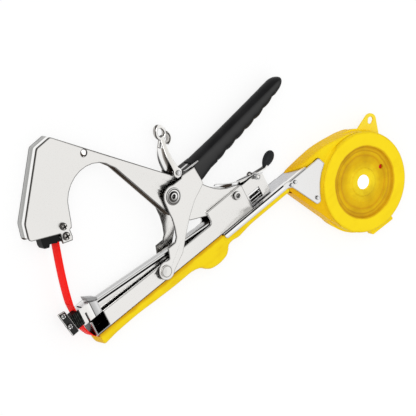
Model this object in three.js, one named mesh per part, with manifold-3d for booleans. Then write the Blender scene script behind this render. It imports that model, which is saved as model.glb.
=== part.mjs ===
// Plant tying tool: pliers that draw a tape round a stem, staple it and cut it.
// Millimetres. The tool lies flat on its side, +Z is the side that faces up.
// Drawn about the handle pivot, with +X along the lower body towards the tape case
// and +Y from the lower body towards the jaw, then set on the middle of its own footprint.
import * as THREE from 'three';
import { mergeVertices } from 'three/addons/utils/BufferGeometryUtils.js';
import Module from 'manifold-3d';

const wasm = await Module();
wasm.setup();

// Clearances
const seat = 0.3;
const slip = 0.4;
const bore = 0.25;
const overrun = 0.6;

// Sheet, strip and tape
const sheet = 1.2;
const handleSheet = 1.5;
const tapeWidth = 11;
const tapeThickness = 0.5;

// Pivots, from the handle pivot
const hingeX = 87.1;
const hingeY = 10.4;
const drivePinX = 35.3;
const drivePinY = 47;
const jawTravel = 15.6;
const handleTravel = 11;

// Nested channels, half widths
const magazineHalf = 3.7;
const magazineWall = 0.65;
const armInner = magazineHalf + slip;
const armOuter = armInner + sheet;
const frameInner = armOuter + slip;
const frameOuter = frameInner + sheet;
const plateInner = frameOuter + seat;
const plateOuter = plateInner + handleSheet;
const bodyHalf = 10;

// Lengths of the main pieces
const armLength = 200;
const reach = 172;
const uprightHeight = 23.4;
const uprightWidth = 38.2;
const gripLength = 106.5;
const drumRadius = 40;

// Middle of the tape case, from the handle pivot
const hubX = 192.5;
const hubY = -52;

// Sides of round pieces, steps of a coil's turn, and turns in degrees
const sidesPerTurn = 24;
const drumSides = 2 * sidesPerTurn;
const boreSides = 16;
const pinSides = 12;
const coilSteps = 8;
const quarter = 90;
const full = 4 * quarter;

// Finishes
const finish = (color, roughness, metalness) => new THREE.MeshStandardMaterial({ color, roughness, metalness });
const chrome = () => finish(0xe4e3df, 0.18, 1);
const steel = () => finish(0xb9b9b6, 0.4, 1);
const yellow = () => finish(0xf6cf12, 0.42, 0);
const black = () => finish(0x161616, 0.5, 0);
const red = () => finish(0xe8140f, 0.45, 0);
const springSteel = () => finish(0x9c9c9a, 0.35, 1);

// Drawing helpers
const radians = THREE.MathUtils.degToRad;
const at = (x, y, more) => ({ x, y, ...more });
const web = { web: true };
const vertical = new THREE.Vector3(0, 1, 0);

function arc(x, y, radius, from, to, more) {
  const steps = Math.max(2, Math.ceil(Math.abs(to - from) / full * sidesPerTurn));
  return Array.from({ length: steps + 1 }, (unused, i) => {
    const angle = radians(from + (to - from) * i / steps);
    return at(x + radius * Math.cos(angle), y + radius * Math.sin(angle), more);
  });
}

// Rounds every corner that has a radius r, no more than its edges allow
function rounded(points) {
  const path = [];
  points.forEach((corner, i) => {
    if (!corner.r) {
      path.push(corner);
      return;
    }
    const before = points.at(i - 1);
    const after = points[(i + 1) % points.length];
    const here = new THREE.Vector2(corner.x, corner.y);
    const back = new THREE.Vector2(before.x, before.y).sub(here);
    const on = new THREE.Vector2(after.x, after.y).sub(here);
    const room = Math.min(back.length(), on.length()) * 0.49;
    back.normalize();
    on.normalize();
    const bend = Math.acos(THREE.MathUtils.clamp(back.dot(on), -1, 1)) / 2;
    const run = Math.min(corner.r / Math.tan(bend), room);
    const radius = run * Math.tan(bend);
    const middle = back.clone().add(on).normalize().multiplyScalar(radius / Math.sin(bend)).add(here);
    const first = here.clone().addScaledVector(back, run).sub(middle);
    const last = here.clone().addScaledVector(on, run).sub(middle);
    const sweep = Math.atan2(first.cross(last), first.dot(last));
    const steps = Math.max(1, Math.round(Math.abs(sweep) / radians(full) * sidesPerTurn));
    for (let s = 0; s <= steps; s += 1) {
      const spoke = first.clone().rotateAround(new THREE.Vector2(), sweep * s / steps).add(middle);
      const kept = s < steps ? before.web && corner.web : corner.web;
      path.push(at(spoke.x, spoke.y, { web: kept }));
    }
  });
  return path;
}

// The space inside a bent sheet: a wall in from each web edge, past each open edge
function inside(path, wall, past = overrun) {
  const side = Math.sign(THREE.ShapeUtils.area(path));
  const edges = path.map((point, i) => {
    const next = path[(i + 1) % path.length];
    const along = new THREE.Vector2(next.x - point.x, next.y - point.y).normalize();
    const inward = new THREE.Vector2(-along.y, along.x).multiplyScalar(side);
    const depth = point.web ? wall : -past;
    return { along, inward, depth, foot: new THREE.Vector2(point.x, point.y).addScaledVector(inward, depth) };
  });
  return path.flatMap((point, i) => {
    const before = edges.at(i - 1);
    const after = edges[i];
    const crossing = before.along.cross(after.along);
    const stepped = before.depth !== after.depth;
    if (stepped && Math.abs(crossing) < 0.5) {
      const reached = new THREE.Vector2(point.x, point.y).addScaledVector(before.inward, before.depth);
      return [at(reached.x, reached.y), at(after.foot.x, after.foot.y)];
    }
    if (Math.abs(crossing) < 0.02) return [at(after.foot.x, after.foot.y)];
    const gap = after.foot.clone().sub(before.foot);
    const run = gap.cross(after.along) / crossing;
    return [at(before.foot.x + before.along.x * run, before.foot.y + before.along.y * run)];
  });
}

// A strip of even width along a line of points
function ribbon(points, halfWidth) {
  const edge = (sign) => points.map((point, i) => {
    const before = points[Math.max(0, i - 1)];
    const after = points[Math.min(points.length - 1, i + 1)];
    const normal = new THREE.Vector2(before.y - after.y, after.x - before.x).normalize();
    return at(point.x + sign * halfWidth * normal.x, point.y + sign * halfWidth * normal.y);
  });
  return [...edge(-1), ...edge(1).reverse()];
}

function solid(geometry) {
  const bare = geometry.clone();
  bare.deleteAttribute('normal');
  bare.deleteAttribute('uv');
  const merged = mergeVertices(bare);
  const vertProperties = new Float32Array(merged.attributes.position.array);
  const triVerts = new Uint32Array(merged.index.array);
  return new wasm.Manifold(new wasm.Mesh({ numProp: 3, vertProperties, triVerts }));
}

function slab(path, low, high, holes = []) {
  const shape = new THREE.Shape(path.map((p) => new THREE.Vector2(p.x, p.y)));
  shape.holes = holes.map((hole) => new THREE.Path(hole.map((p) => new THREE.Vector2(p.x, p.y))));
  const geometry = new THREE.ExtrudeGeometry(shape, { depth: high - low, steps: 1, bevelEnabled: false });
  return solid(geometry.translate(0, 0, low));
}

function disc(x, y, radius, low, high, sides = sidesPerTurn) {
  const geometry = new THREE.CylinderGeometry(radius, radius, high - low, sides);
  return solid(geometry.rotateX(radians(quarter)).translate(x, y, (low + high) / 2));
}

function block(x0, x1, y0, y1, z0, z1) {
  const geometry = new THREE.BoxGeometry(x1 - x0, y1 - y0, z1 - z0);
  return solid(geometry.translate((x0 + x1) / 2, (y0 + y1) / 2, (z0 + z1) / 2));
}

function rod(from, to, radius, sides = sidesPerTurn / 2) {
  const axis = to.clone().sub(from);
  const geometry = new THREE.CylinderGeometry(radius, radius, axis.length(), sides);
  const swing = new THREE.Quaternion().setFromUnitVectors(vertical, axis.clone().normalize());
  geometry.applyQuaternion(swing);
  const middle = from.clone().add(to).multiplyScalar(0.5);
  return solid(geometry.translate(middle.x, middle.y, middle.z));
}

// A closed skin over rings of equal count, with a flat cap at each end
function loft(rings) {
  const count = rings[0].length;
  const points = rings.flat();
  const faces = [];
  for (let r = 0; r < rings.length - 1; r += 1) {
    for (let i = 0; i < count; i += 1) {
      const a = r * count + i;
      const b = r * count + (i + 1) % count;
      faces.push(a, b, b + count, a, b + count, a + count);
    }
  }
  const cap = (ring, offset, flip) => {
    const middle = ring.reduce((sum, p) => sum.add(p), new THREE.Vector3()).divideScalar(count);
    points.push(middle);
    const hub = points.length - 1;
    for (let i = 0; i < count; i += 1) {
      const a = offset + i;
      const b = offset + (i + 1) % count;
      faces.push(...(flip ? [hub, b, a] : [hub, a, b]));
    }
  };
  cap(rings[0], 0, true);
  cap(rings.at(-1), (rings.length - 1) * count, false);
  const geometry = new THREE.BufferGeometry();
  geometry.setAttribute('position', new THREE.Float32BufferAttribute(points.flatMap((p) => p.toArray()), 3));
  geometry.setIndex(faces);
  return geometry;
}

// A round wire along points, its rings carried on without twist
function wire(points, radius, sides = 5) {
  const tangents = points.map((point, i) => {
    const before = points[Math.max(0, i - 1)];
    const after = points[Math.min(points.length - 1, i + 1)];
    return after.clone().sub(before).normalize();
  });
  let across = new THREE.Vector3(0, 0, 1).cross(tangents[0]);
  if (across.lengthSq() < 0.01) across = vertical.clone().cross(tangents[0]);
  const rings = points.map((point, i) => {
    across.addScaledVector(tangents[i], -across.dot(tangents[i])).normalize();
    const up = tangents[i].clone().cross(across);
    return Array.from({ length: sides }, (unused, s) => {
      const angle = radians(full) * s / sides;
      return point.clone()
        .addScaledVector(across, radius * Math.cos(angle))
        .addScaledVector(up, radius * Math.sin(angle));
    });
  });
  return loft(rings);
}

// Least space between turns of a wire, measured on its points
function leastGap(name, points, radius, turnSteps) {
  let gap = Infinity;
  points.forEach((a, i) => {
    points.slice(i + turnSteps - 2).forEach((b) => {
      gap = Math.min(gap, a.distanceTo(b) - 2 * radius);
    });
  });
  console.log(`${name}: least gap to itself ${gap.toFixed(2)} mm`);
}

function joined(solids) {
  return solids.reduce((whole, next) => whole.add(next));
}

function cut(whole, tools) {
  return tools.reduce((left, tool) => left.subtract(tool), whole);
}

// The same piece on the other side of the tool's mid-plane
function mirrored(piece) {
  return piece.mirror([0, 0, 1]);
}

const tool = new THREE.Group();

function add(name, shape, material) {
  let geometry = shape;
  if (!shape.isBufferGeometry) {
    const { vertProperties, triVerts } = shape.getMesh();
    geometry = new THREE.BufferGeometry();
    geometry.setAttribute('position', new THREE.BufferAttribute(vertProperties, 3));
    geometry.setIndex(new THREE.BufferAttribute(triVerts, 1));
  }
  const mesh = new THREE.Mesh(geometry, material);
  mesh.name = name;
  tool.add(mesh);
  return mesh;
}

function addEach(name, shapes, material) {
  shapes.forEach((shape, i) => add(`${name}_${i + 1}`, shape, material()));
}

// Frame channel: one pressed sheet, a flat floor, two sides and an upright for the jaw hinge
const frameInset = 6.4;
const frameRear = 7.4;
const frameTopFront = 7.9;
const frameTopRear = 4.8;
const frameBottomFront = -6.4;
const frameBottomRear = -7.8;
const frameCornerRound = 2;
const frameStepRound = 3;
const frontCutLength = 13.2;
const frontWebDrop = 1.5;
const hingePinRadius = 2.2;
const studRadius = 3;
const frameFrontX = hingeX - reach + frameInset;
const frameRearX = hingeX + frameRear;
const uprightX = frameRearX - uprightWidth;
const uprightTop = frameBottomRear + uprightHeight + seat / 2;
const frontWebTop = frameTopFront - frontWebDrop;

function frameBottomAt(x) {
  const share = (x - frameFrontX) / (frameRearX - frameFrontX);
  return THREE.MathUtils.lerp(frameBottomFront, frameBottomRear, share);
}

function frameChannel() {
  const side = rounded([
    at(frameFrontX, frameBottomFront, web),
    at(frameRearX, frameBottomRear),
    at(frameRearX, uprightTop, { r: frameCornerRound }),
    at(uprightX, uprightTop, { r: frameCornerRound / 2 }),
    at(uprightX, frameTopRear, { r: frameStepRound }),
    at(frameFrontX, frameTopFront, web),
  ]);
  const nearCut = block(
    frameFrontX + sheet, frameFrontX + sheet + frontCutLength,
    frameBottomAt(frameFrontX) + sheet, frameTopFront + overrun,
    frameInner - overrun, frameOuter + overrun,
  );
  const overWeb = block(
    frameFrontX - overrun, frameFrontX + sheet + overrun,
    frontWebTop, frameTopFront + overrun,
    -frameOuter - overrun, frameOuter + overrun,
  );
  return cut(slab(side, -frameOuter, frameOuter), [
    slab(inside(side, sheet), -frameInner, frameInner),
    nearCut,
    overWeb,
    disc(hingeX, hingeY, hingePinRadius + bore, -bodyHalf, bodyHalf),
    disc(0, 0, studRadius + bore, -bodyHalf, bodyHalf),
  ]);
}
add('frame_channel', frameChannel(), chrome());

// Tape guide: a yellow moulded trough under the frame, open along its top
const guideInner = tapeWidth / 2 + seat;
const guideWall = 1.2;
const guideRearWall = 0.7;
const guideOuter = guideInner + guideWall;
const guideRearOuter = guideInner + guideRearWall;
const guideDepth = 10;
const guideStepShare = 0.16;
const guideRearLength = 43.9;
const guideRearDepthShare = 1.84;
const tailInner = guideRearOuter + seat;
const tailOuter = tailInner + sheet;
const tailTop = frameBottomRear - seat;
const guideStepX = hingeX - guideStepShare * reach;
const guideRearX = hingeX + guideRearLength;
const guideRearTop = tailTop - sheet - seat;
const guideRearLow = -guideRearDepthShare * guideDepth;

// Each row: share of the reach forward of the hinge, share of the trough's depth below the pivot
const guideBottomShares = [
  [0.958, 1.34], [0.731, 1.49], [0.498, 1.71], [0.382, 1.71], [0.324, 1.99], [0.306, 2.34],
  [0.277, 2.64], [0.231, 2.74], [0.184, 2.59], [0.161, 2.24], [0.1436, 1.99], [0.1145, 1.94],
  [0.0797, 2.04], [0.0448, 1.94], [-0.0134, guideRearDepthShare],
];
const guideFrontShares = [[0.992, 0.09], [0.992, 0.44], [0.981, 0.94]];

function guidePoint([forward, down]) {
  return at(hingeX - forward * reach, -down * guideDepth, web);
}

function tapeGuide() {
  const side = [
    ...guideFrontShares.map(guidePoint),
    ...guideBottomShares.map(guidePoint),
    at(guideRearX, guideRearLow),
    at(guideRearX, guideRearTop),
    at(guideStepX + seat, guideRearTop),
    at(guideStepX - sheet, frameBottomAt(guideStepX) - seat),
    at(frameFrontX - seat, frameBottomFront - seat),
  ];
  const rearTrim = block(guideStepX, guideRearX + overrun, -3 * guideDepth, 0, guideRearOuter, bodyHalf);
  return cut(slab(side, -guideOuter, guideOuter), [
    rearTrim,
    mirrored(rearTrim),
    slab(inside(side, guideWall), -guideInner, guideInner),
  ]);
}
add('tape_guide', tapeGuide(), yellow());

// Tail channel: carries the tape case between two triangular cheeks
const tailFrontShare = 0.152;
const tailFlange = 5;
const tailRound = 2.9;
const tailWebEnd = 132;
const tailWebStep = 2.4;
const cheekGap = 1.5;
const cheekDrop = 1.8;
const cheekRun = 34;
const cheekRound = 2;
const cheekArcStart = 124;
const cheekArcEnd = 157;
const cheekTipOut = 4.9;
const cheekTipAngle = 165.8;
const cheekTipHalf = 2;
const cheekFootX = 133.7;
const cheekFootY = -15;
const cheekFootRun = 4;
const neckRoomDrop = 5;
const tailRivetRadius = 1.5;
const tailShankRadius = 0.9;
const tailRivetInset = 3;
const tailRivetPitch = 4;
const tailRivetDrop = 4.8;
const lowRivetOut = 5.7;
const lowRivetAngle = 160.2;
const tailFrontX = hingeX - tailFrontShare * reach;
const cheekTop = tailTop - cheekDrop;
const cheekTip = aroundHub(drumRadius + cheekTipOut, cheekTipAngle);

const tailRivets = [
  at(guideRearX + tailRivetInset, tailTop - tailRivetDrop),
  at(guideRearX + tailRivetInset + tailRivetPitch, tailTop - tailRivetDrop),
  aroundHub(drumRadius + lowRivetOut, lowRivetAngle),
];

function aroundHub(distance, angle) {
  return arc(hubX, hubY, distance, angle, angle)[0];
}

function tailRivetHoles() {
  return tailRivets.map(({ x, y }) => disc(x, y, tailShankRadius + bore, -bodyHalf, bodyHalf, pinSides));
}

function tailChannel() {
  const side = rounded([
    at(tailFrontX, tailTop - tailFlange, { r: tailRound }),
    at(tailFrontX, tailTop, web),
    at(tailWebEnd, tailTop, web),
    at(tailWebEnd + tailWebStep, cheekTop),
    at(tailWebEnd + cheekRun, cheekTop, { r: cheekRound }),
    ...arc(hubX, hubY, drumRadius + cheekGap + sheet, cheekArcStart, cheekArcEnd),
    at(cheekTip.x + cheekTipHalf, cheekTip.y, { r: cheekRound }),
    at(cheekTip.x - cheekTipHalf, cheekTip.y, { r: cheekRound }),
    at(cheekFootX, cheekFootY, { r: 2 * cheekRound }),
    at(cheekFootX - cheekFootRun, tailTop - tailFlange),
  ]);
  return cut(slab(side, -tailOuter, tailOuter), [
    slab(inside(side, sheet), -tailInner, tailInner),
    block(tailWebEnd, hubX, cheekTip.y - neckRoomDrop, 0, -tailInner, tailInner),
    ...tailRivetHoles(),
  ]);
}
add('tail_channel', tailChannel(), chrome());

// Tape case: two yellow shells round the roll, the back one with the neck that joins the tail
const caseWall = 1.5;
const rimLip = 1.2;
const rimHalf = 1;
const dishInset = 11.9;
const dishDepth = 2.7;
const dishLedge = 3.1;
const dishLedgeShare = 0.25;
const bossRadius = 11;
const bossDrop = 1;
const eyeRadius = 5.8;
const spigotRadius = 12;
const neckHalf = guideRearOuter;
const neckLowAngle = 206;
const neckBackShare = 0.6;
const earOut = 6.3;
const earAngle = 44;
const earSpread = 16;
const earTurn = 70;
const earRadius = 5.5;
const earHole = 3;
const tabOut = 3.2;
const tabSideShares = [-0.3, 0.22];
const peepRadius = 1.4;
const peepInset = 3.5;
const peepDrop = 3.5;
const tongueHalf = 8;
const rimRadius = drumRadius + rimLip;
const dishRadius = drumRadius - dishInset;
const dishStep = dishRadius - dishLedge;

// Each row: share of the drum radius from the hub, across and up
const neckTopShares = [[-1.4, 1.06], [-1.05, 1.09], [-0.4, 1.085]];
const tongueShares = [[-1.425, 1.06], [-0.63, 1.06], [-0.57, 0.85], [-0.3, 1.03], [-0.45, 1.1], [-1.2, 1.1]];
const passageShares = [[-0.2, 0.925], [-0.3, 0], [-0.86, -0.2]];

function hubPoint([across, up]) {
  return at(hubX + across * drumRadius, hubY + up * drumRadius);
}

// The round shell under the roll, open upwards; the lid's shell is the same one mirrored
function caseShell() {
  return cut(disc(hubX, hubY, drumRadius, -bodyHalf, -seat / 2, drumSides), [
    disc(hubX, hubY, drumRadius - caseWall, caseWall - bodyHalf, overrun, drumSides),
  ]);
}

function neckPassage() {
  return slab([
    at(guideRearX - overrun, guideRearTop - guideRearWall),
    ...passageShares.map(hubPoint),
    at(guideRearX - overrun, guideRearLow + guideWall),
  ], -guideInner, guideInner);
}

function caseNeck() {
  const frontX = guideRearX + seat;
  const side = slab([
    at(frontX, guideRearTop),
    ...neckTopShares.map(hubPoint),
    at(hubX, hubY + drumRadius - caseWall / 2),
    at(hubX - neckBackShare * drumRadius, hubY),
    aroundHub(drumRadius - caseWall / 2, neckLowAngle),
    at(frontX, guideRearLow),
  ], -neckHalf, neckHalf);
  const tongue = slab(tongueShares.map(hubPoint), -tongueHalf, tongueHalf);
  return cut(side.add(tongue), [
    disc(hubX, hubY, rimRadius + seat, -seat / 2, bodyHalf, drumSides),
    disc(hubX, hubY, drumRadius - caseWall / 2, -bodyHalf, bodyHalf, drumSides),
  ]);
}

function caseBack() {
  const rim = cut(disc(hubX, hubY, rimRadius, -rimHalf, -seat / 2, drumSides), [
    disc(hubX, hubY, drumRadius - caseWall, -2 * rimHalf, rimHalf, drumSides),
  ]);
  const spigot = cut(disc(hubX, hubY, spigotRadius, caseWall / 2 - bodyHalf, tapeWidth / 2), [
    disc(hubX, hubY, spigotRadius - caseWall, caseWall - bodyHalf, bodyHalf),
  ]);
  const eye = disc(hubX, hubY, eyeRadius + caseWall, caseWall / 2 - bodyHalf, tapeWidth / 2);
  const [tabFrom, tabTo] = tabSideShares.map((share) => hubX + share * drumRadius);
  const tab = block(
    tabFrom, tabTo,
    hubY - drumRadius - tabOut, hubY - drumRadius + caseWall / 2,
    -2 * rimHalf, -seat / 2,
  );
  return cut(joined([caseShell(), rim, spigot, eye, caseNeck(), tab, hangingEar()]), [
    neckPassage(),
    disc(hubX, hubY, eyeRadius, -2 * bodyHalf, 2 * bodyHalf),
    ...tailRivetHoles(),
  ]);
}

function hangingEar() {
  const centre = aroundHub(drumRadius + earOut, earAngle);
  const root = arc(hubX, hubY, drumRadius - caseWall / 2, earAngle - earSpread, earAngle + earSpread);
  const tip = arc(centre.x, centre.y, earRadius, earAngle + earTurn, earAngle - earTurn);
  return slab([...root, ...tip], -2 * rimHalf, -seat / 2)
    .subtract(disc(centre.x, centre.y, earHole, -bodyHalf, bodyHalf, boreSides));
}

function caseLid() {
  const floor = bodyHalf - dishDepth;
  const dish = disc(hubX, hubY, dishRadius + caseWall, floor - caseWall, bodyHalf - caseWall / 2, drumSides);
  const boss = disc(hubX, hubY, bossRadius, floor - caseWall / 2, bodyHalf - bossDrop);
  const sunk = cut(mirrored(caseShell()).add(dish), [
    disc(hubX, hubY, dishRadius, floor + dishLedgeShare * dishDepth, bodyHalf + overrun, drumSides),
    disc(hubX, hubY, dishStep, floor, bodyHalf + overrun, drumSides),
  ]);
  return cut(sunk.add(boss), [
    disc(hubX, hubY, eyeRadius, -2 * bodyHalf, 2 * bodyHalf),
    disc(hubX + dishStep - peepInset, hubY - peepDrop, peepRadius, 0, 2 * bodyHalf, pinSides),
    neckPassage(),
  ]);
}
add('case_back', caseBack(), yellow());
add('case_lid', caseLid(), yellow());

// Tape roll on its paper core, wound round the spigot
const rollRoom = 4.5;
const coreThickness = 1.6;
const rollRadius = drumRadius - caseWall - rollRoom;
const coreRadius = spigotRadius + seat + coreThickness;
const roll = cut(disc(hubX, hubY, rollRadius, -tapeWidth / 2, tapeWidth / 2, drumSides), [
  disc(hubX, hubY, coreRadius, -bodyHalf, bodyHalf),
]);
const core = cut(disc(hubX, hubY, coreRadius, -tapeWidth / 2, tapeWidth / 2), [
  disc(hubX, hubY, spigotRadius + seat, -bodyHalf, bodyHalf),
]);
add('tape_roll', roll.add(core), red());

// Jaw arm: one pressed sheet folded over its top edge, two sides joined by a web
const armEndRadius = 8;
const armEndFrom = 70;
const armEndTo = -100;
const armRound = 3;
const mouthRadius = 27.2;
const mouthFrom = 40;
const mouthTo = 150;
const armHole = 3;
const drivePinRadius = 2.5;
const slotHalf = drivePinRadius + bore;
const slotSteps = 6;
const pinReach = Math.hypot(hingeX - drivePinX, drivePinY - hingeY);
const folded = { ...web, r: armRound };
const foldedWide = { ...web, r: 2 * armRound };
const blunt = { r: armRound };
const bluntWide = { r: 2 * armRound };

// Each row: share of the arm's length from the jaw hinge, across and up, and the corner made there
const headFrontShares = [
  [-0.904, 0.4245, folded], [-0.8865, 0.4945, foldedWide], [-0.692, 0.72, folded], [-0.617, 0.722, folded],
  [-0.27, 0.3163],
];
const headInnerShares = [
  [-0.6815, 0.4345], [-0.7015, 0.3745], [-0.7115, 0.3545], [-0.7215, 0.3545], [-0.724, 0.3245],
  [-0.7315, 0.3095], [-0.7765, 0.3245], [-0.7665, 0.3645],
];
const strutEndShares = [-0.4215, 0.4345, blunt];
const mouthShares = [-0.5555, 0.388];
const armHoleShares = [-0.5165, 0.5745];

// Each row: the same, in shares of the distance from the jaw hinge to the drive pin
const armBackShares = [
  [-0.6054, 0.7095], [-0.4604, 0.7048, blunt], [-0.4446, 0.5991], [-0.3973, 0.4888], [-0.3059, 0.3626, web],
  [-0.227, 0.268, web], [-0.1482, 0.205, web], [-0.0694, 0.1577],
];
const armUnderShares = [[-0.4951, 0.0378, bluntWide], [-0.7316, 0.1419, blunt], [-0.9365, 0.3626, blunt]];

function armPoint([across, up, corner]) {
  return at(hingeX + across * armLength, hingeY + up * armLength, corner);
}

function nearPinPoint([across, up, corner]) {
  return at(hingeX + across * pinReach, hingeY + up * pinReach, corner);
}

// Where the drive pin runs in the arm as the handle closes the jaw
function slotLine() {
  const pinStart = new THREE.Vector2(drivePinX, drivePinY);
  const hinge = new THREE.Vector2(hingeX, hingeY);
  return Array.from({ length: slotSteps + 1 }, (unused, i) => {
    const share = i / slotSteps;
    const pin = pinStart.clone().rotateAround(new THREE.Vector2(), -radians(handleTravel * share));
    return pin.rotateAround(hinge, -radians(jawTravel * share));
  });
}

function jawArm() {
  const mouth = armPoint(mouthShares);
  const hole = armPoint(armHoleShares);
  const slot = slotLine();
  const side = rounded([
    ...headFrontShares.map(armPoint),
    ...armBackShares.map(nearPinPoint),
    ...arc(hingeX, hingeY, armEndRadius, armEndFrom, armEndTo),
    ...armUnderShares.map(nearPinPoint),
    armPoint(strutEndShares),
    ...arc(mouth.x, mouth.y, mouthRadius, mouthFrom, mouthTo),
    ...headInnerShares.map(armPoint),
  ]);
  return cut(slab(side, -armOuter, armOuter), [
    slab(inside(side, sheet), -armInner, armInner),
    slab(ribbon(slot, slotHalf), -bodyHalf, bodyHalf),
    disc(slot[0].x, slot[0].y, slotHalf, -bodyHalf, bodyHalf),
    disc(slot.at(-1).x, slot.at(-1).y, slotHalf, -bodyHalf, bodyHalf),
    disc(hole.x, hole.y, armHole, -bodyHalf, bodyHalf),
    disc(hingeX, hingeY, hingePinRadius + bore, -bodyHalf, bodyHalf),
    ...headScrewPlaces().map((p) => disc(p.x, p.y, screwShank + bore, 0, bodyHalf, pinSides)),
  ]);
}

// Head screws: cross-recess pan heads that hold the clamp and the anvil
const screwShank = 1.5;
const screwHeadHeight = 1.6;
const screwRiseShares = [0, 0.45, 1];
const screwDrawShare = 0.35;
const screwLapShare = 0.25;
const highScrewRadius = 3;
const lowScrewRadius = 3.4;
const headScrews = [
  { shares: [-0.7405, 0.381], radius: highScrewRadius },
  { shares: [-0.7485, 0.341], radius: lowScrewRadius },
];
const recessShare = 0.7;
const recessWidth = 0.9;

function headScrewPlaces() {
  return headScrews.map(({ shares }) => armPoint(shares));
}

function panScrew(x, y, radius, low, shankLow) {
  const top = low + screwHeadHeight;
  const head = loft(screwRiseShares.map((rise) => {
    const ring = arc(x, y, radius * (1 - screwDrawShare * rise * rise), 0, full).slice(0, -1);
    return ring.map((p) => new THREE.Vector3(p.x, p.y, low + rise * screwHeadHeight));
  }));
  const long = radius * recessShare;
  const recess = [
    block(x - long, x + long, y - recessWidth / 2, y + recessWidth / 2, top - recessWidth, top + overrun),
    block(x - recessWidth / 2, x + recessWidth / 2, y - long, y + long, top - recessWidth, top + overrun),
  ];
  const shank = disc(x, y, screwShank, shankLow, low + screwLapShare * screwHeadHeight, pinSides);
  return cut(solid(head).add(shank), recess);
}
add('jaw_arm', jawArm(), chrome());
addEach('head_screw', headScrews.map(({ shares, radius }) => {
  const place = armPoint(shares);
  return panScrew(place.x, place.y, radius, armOuter + seat, 0);
}), chrome);

// Anvil block inside the head: folds the staple's legs, and carries the two screws
const anvilShares = [
  [-0.7655, 0.362], [-0.76, 0.42], [-0.71, 0.4], [-0.7215, 0.352], [-0.728, 0.318], [-0.77, 0.33],
];

function anvil() {
  const holes = headScrewPlaces().map((p) => disc(p.x, p.y, screwShank + bore, -seat, bodyHalf, pinSides));
  return cut(slab(anvilShares.map(armPoint), -armInner + seat, armInner - seat), holes);
}
add('anvil', anvil(), steel());

// Tape clamp: black bar under the head whose hooked end draws the tape up
const clampHalf = 5.2;
const clampCorner = { r: 1 };
const clampShares = [
  [-0.876, 0.4085], [-0.7745, 0.3625], [-0.7785, 0.335, clampCorner], [-0.796, 0.331, clampCorner],
  [-0.853, 0.365, clampCorner], [-0.86, 0.352, clampCorner], [-0.874, 0.36, clampCorner],
  [-0.882, 0.392, clampCorner],
];
const clampTongueShares = [[-0.86, 0.392], [-0.79, 0.36], [-0.79, 0.4], [-0.855, 0.43]];

function tapeClamp() {
  const bar = slab(rounded(clampShares.map(armPoint)), -clampHalf, clampHalf);
  const tongue = slab(clampTongueShares.map(armPoint), -armInner + seat, armInner - seat);
  return bar.add(tongue);
}
add('tape_clamp', tapeClamp(), black());

// Cutter blade: a toothed strip held behind the clamp
const cutterShares = [[-0.7725, 0.329], [-0.7725, 0.352], [-0.77, 0.352], [-0.77, 0.329]];
const cutterTeeth = 6;
const toothDepth = 1.4;
const notchShare = 0.7;

function cutterBlade() {
  const corners = cutterShares.map(armPoint);
  const [left, right, low] = [corners[0].x, corners[2].x, corners[0].y];
  const bladeHalf = armInner - seat;
  const pitch = 2 * bladeHalf / cutterTeeth;
  const notches = Array.from({ length: cutterTeeth }, (unused, i) => {
    const z = (i + 1 / 2) * pitch - bladeHalf;
    const notchHalf = notchShare * pitch / 2;
    return block(
      left - overrun, right + overrun,
      low - overrun, low + toothDepth,
      z - notchHalf, z + notchHalf,
    );
  });
  return cut(slab(corners, -bladeHalf, bladeHalf), notches);
}

add('cutter_blade', cutterBlade(), steel());

// Handle: two cut-out plates over the tang, the near one and the far one alike
const bossRound = 9;
const bossFrom = 180;
const bossTo = 62;
const pivotEndRadius = 7.5;
const pivotEndX = 1;
const pivotEndFrom = -35;
const pivotEndTo = -300;
const drivePinDistance = Math.hypot(drivePinX, drivePinY);

// Each row: share of the distance from the handle pivot to the drive pin, across and up
const plateTopShares = [[0.83, 0.93], [0.855, 0.956], [1.077, 0.939]];
const plateBackShares = [
  [1.094, 0.667], [1.051, 0.641], [0.864, 0.548], [0.694, 0.4116], [0.524, 0.2415], [0.354, 0.0544],
];
const plateFrontShares = [
  [0.133, 0.105], [0.167, 0.19], [0.184, 0.2415], [0.32, 0.2415], [0.371, 0.2925], [0.4133, 0.4116],
  [0.439, 0.548], [0.439, 0.633],
];

function platePoint([across, up]) {
  return at(across * drivePinDistance, up * drivePinDistance);
}

function handlePlate(low, high) {
  const side = [
    ...arc(drivePinX, drivePinY, bossRound, bossFrom, bossTo),
    ...plateTopShares.map(platePoint),
    ...plateBackShares.map(platePoint),
    ...arc(pivotEndX, 0, pivotEndRadius, pivotEndFrom, pivotEndTo),
    ...plateFrontShares.map(platePoint),
  ];
  return cut(slab(side, low, high), [
    disc(0, 0, studRadius + bore, -2 * bodyHalf, 2 * bodyHalf),
    disc(drivePinX, drivePinY, drivePinRadius + bore, -2 * bodyHalf, 2 * bodyHalf),
  ]);
}
add('handle_plate_near', handlePlate(plateInner, plateOuter), chrome());
add('handle_plate_far', handlePlate(-plateOuter, -plateInner), chrome());

// Handle pivot studs: one through each side, so that the magazine passes between them
const studHeadRadius = 5;
const studCollarRadius = 4.2;
const studCollar = 0.7;

function handleStud() {
  const low = frameInner - seat - studCollar;
  return joined([
    disc(0, 0, studRadius, low, bodyHalf),
    disc(0, 0, studHeadRadius, plateOuter + seat, bodyHalf),
    disc(0, 0, studCollarRadius, low, frameInner - seat),
  ]);
}
addEach('handle_pivot_stud', [handleStud(), mirrored(handleStud())], chrome);

// Drive pin: a hollow rivet through both plates and the arm's slot, with ringed heads
const driveHeadRadius = 7;
const driveRingRadius = 4;
const driveRingHeight = 0.5;
const driveHollow = 1.6;
const driveHollowDepth = 3;

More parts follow.
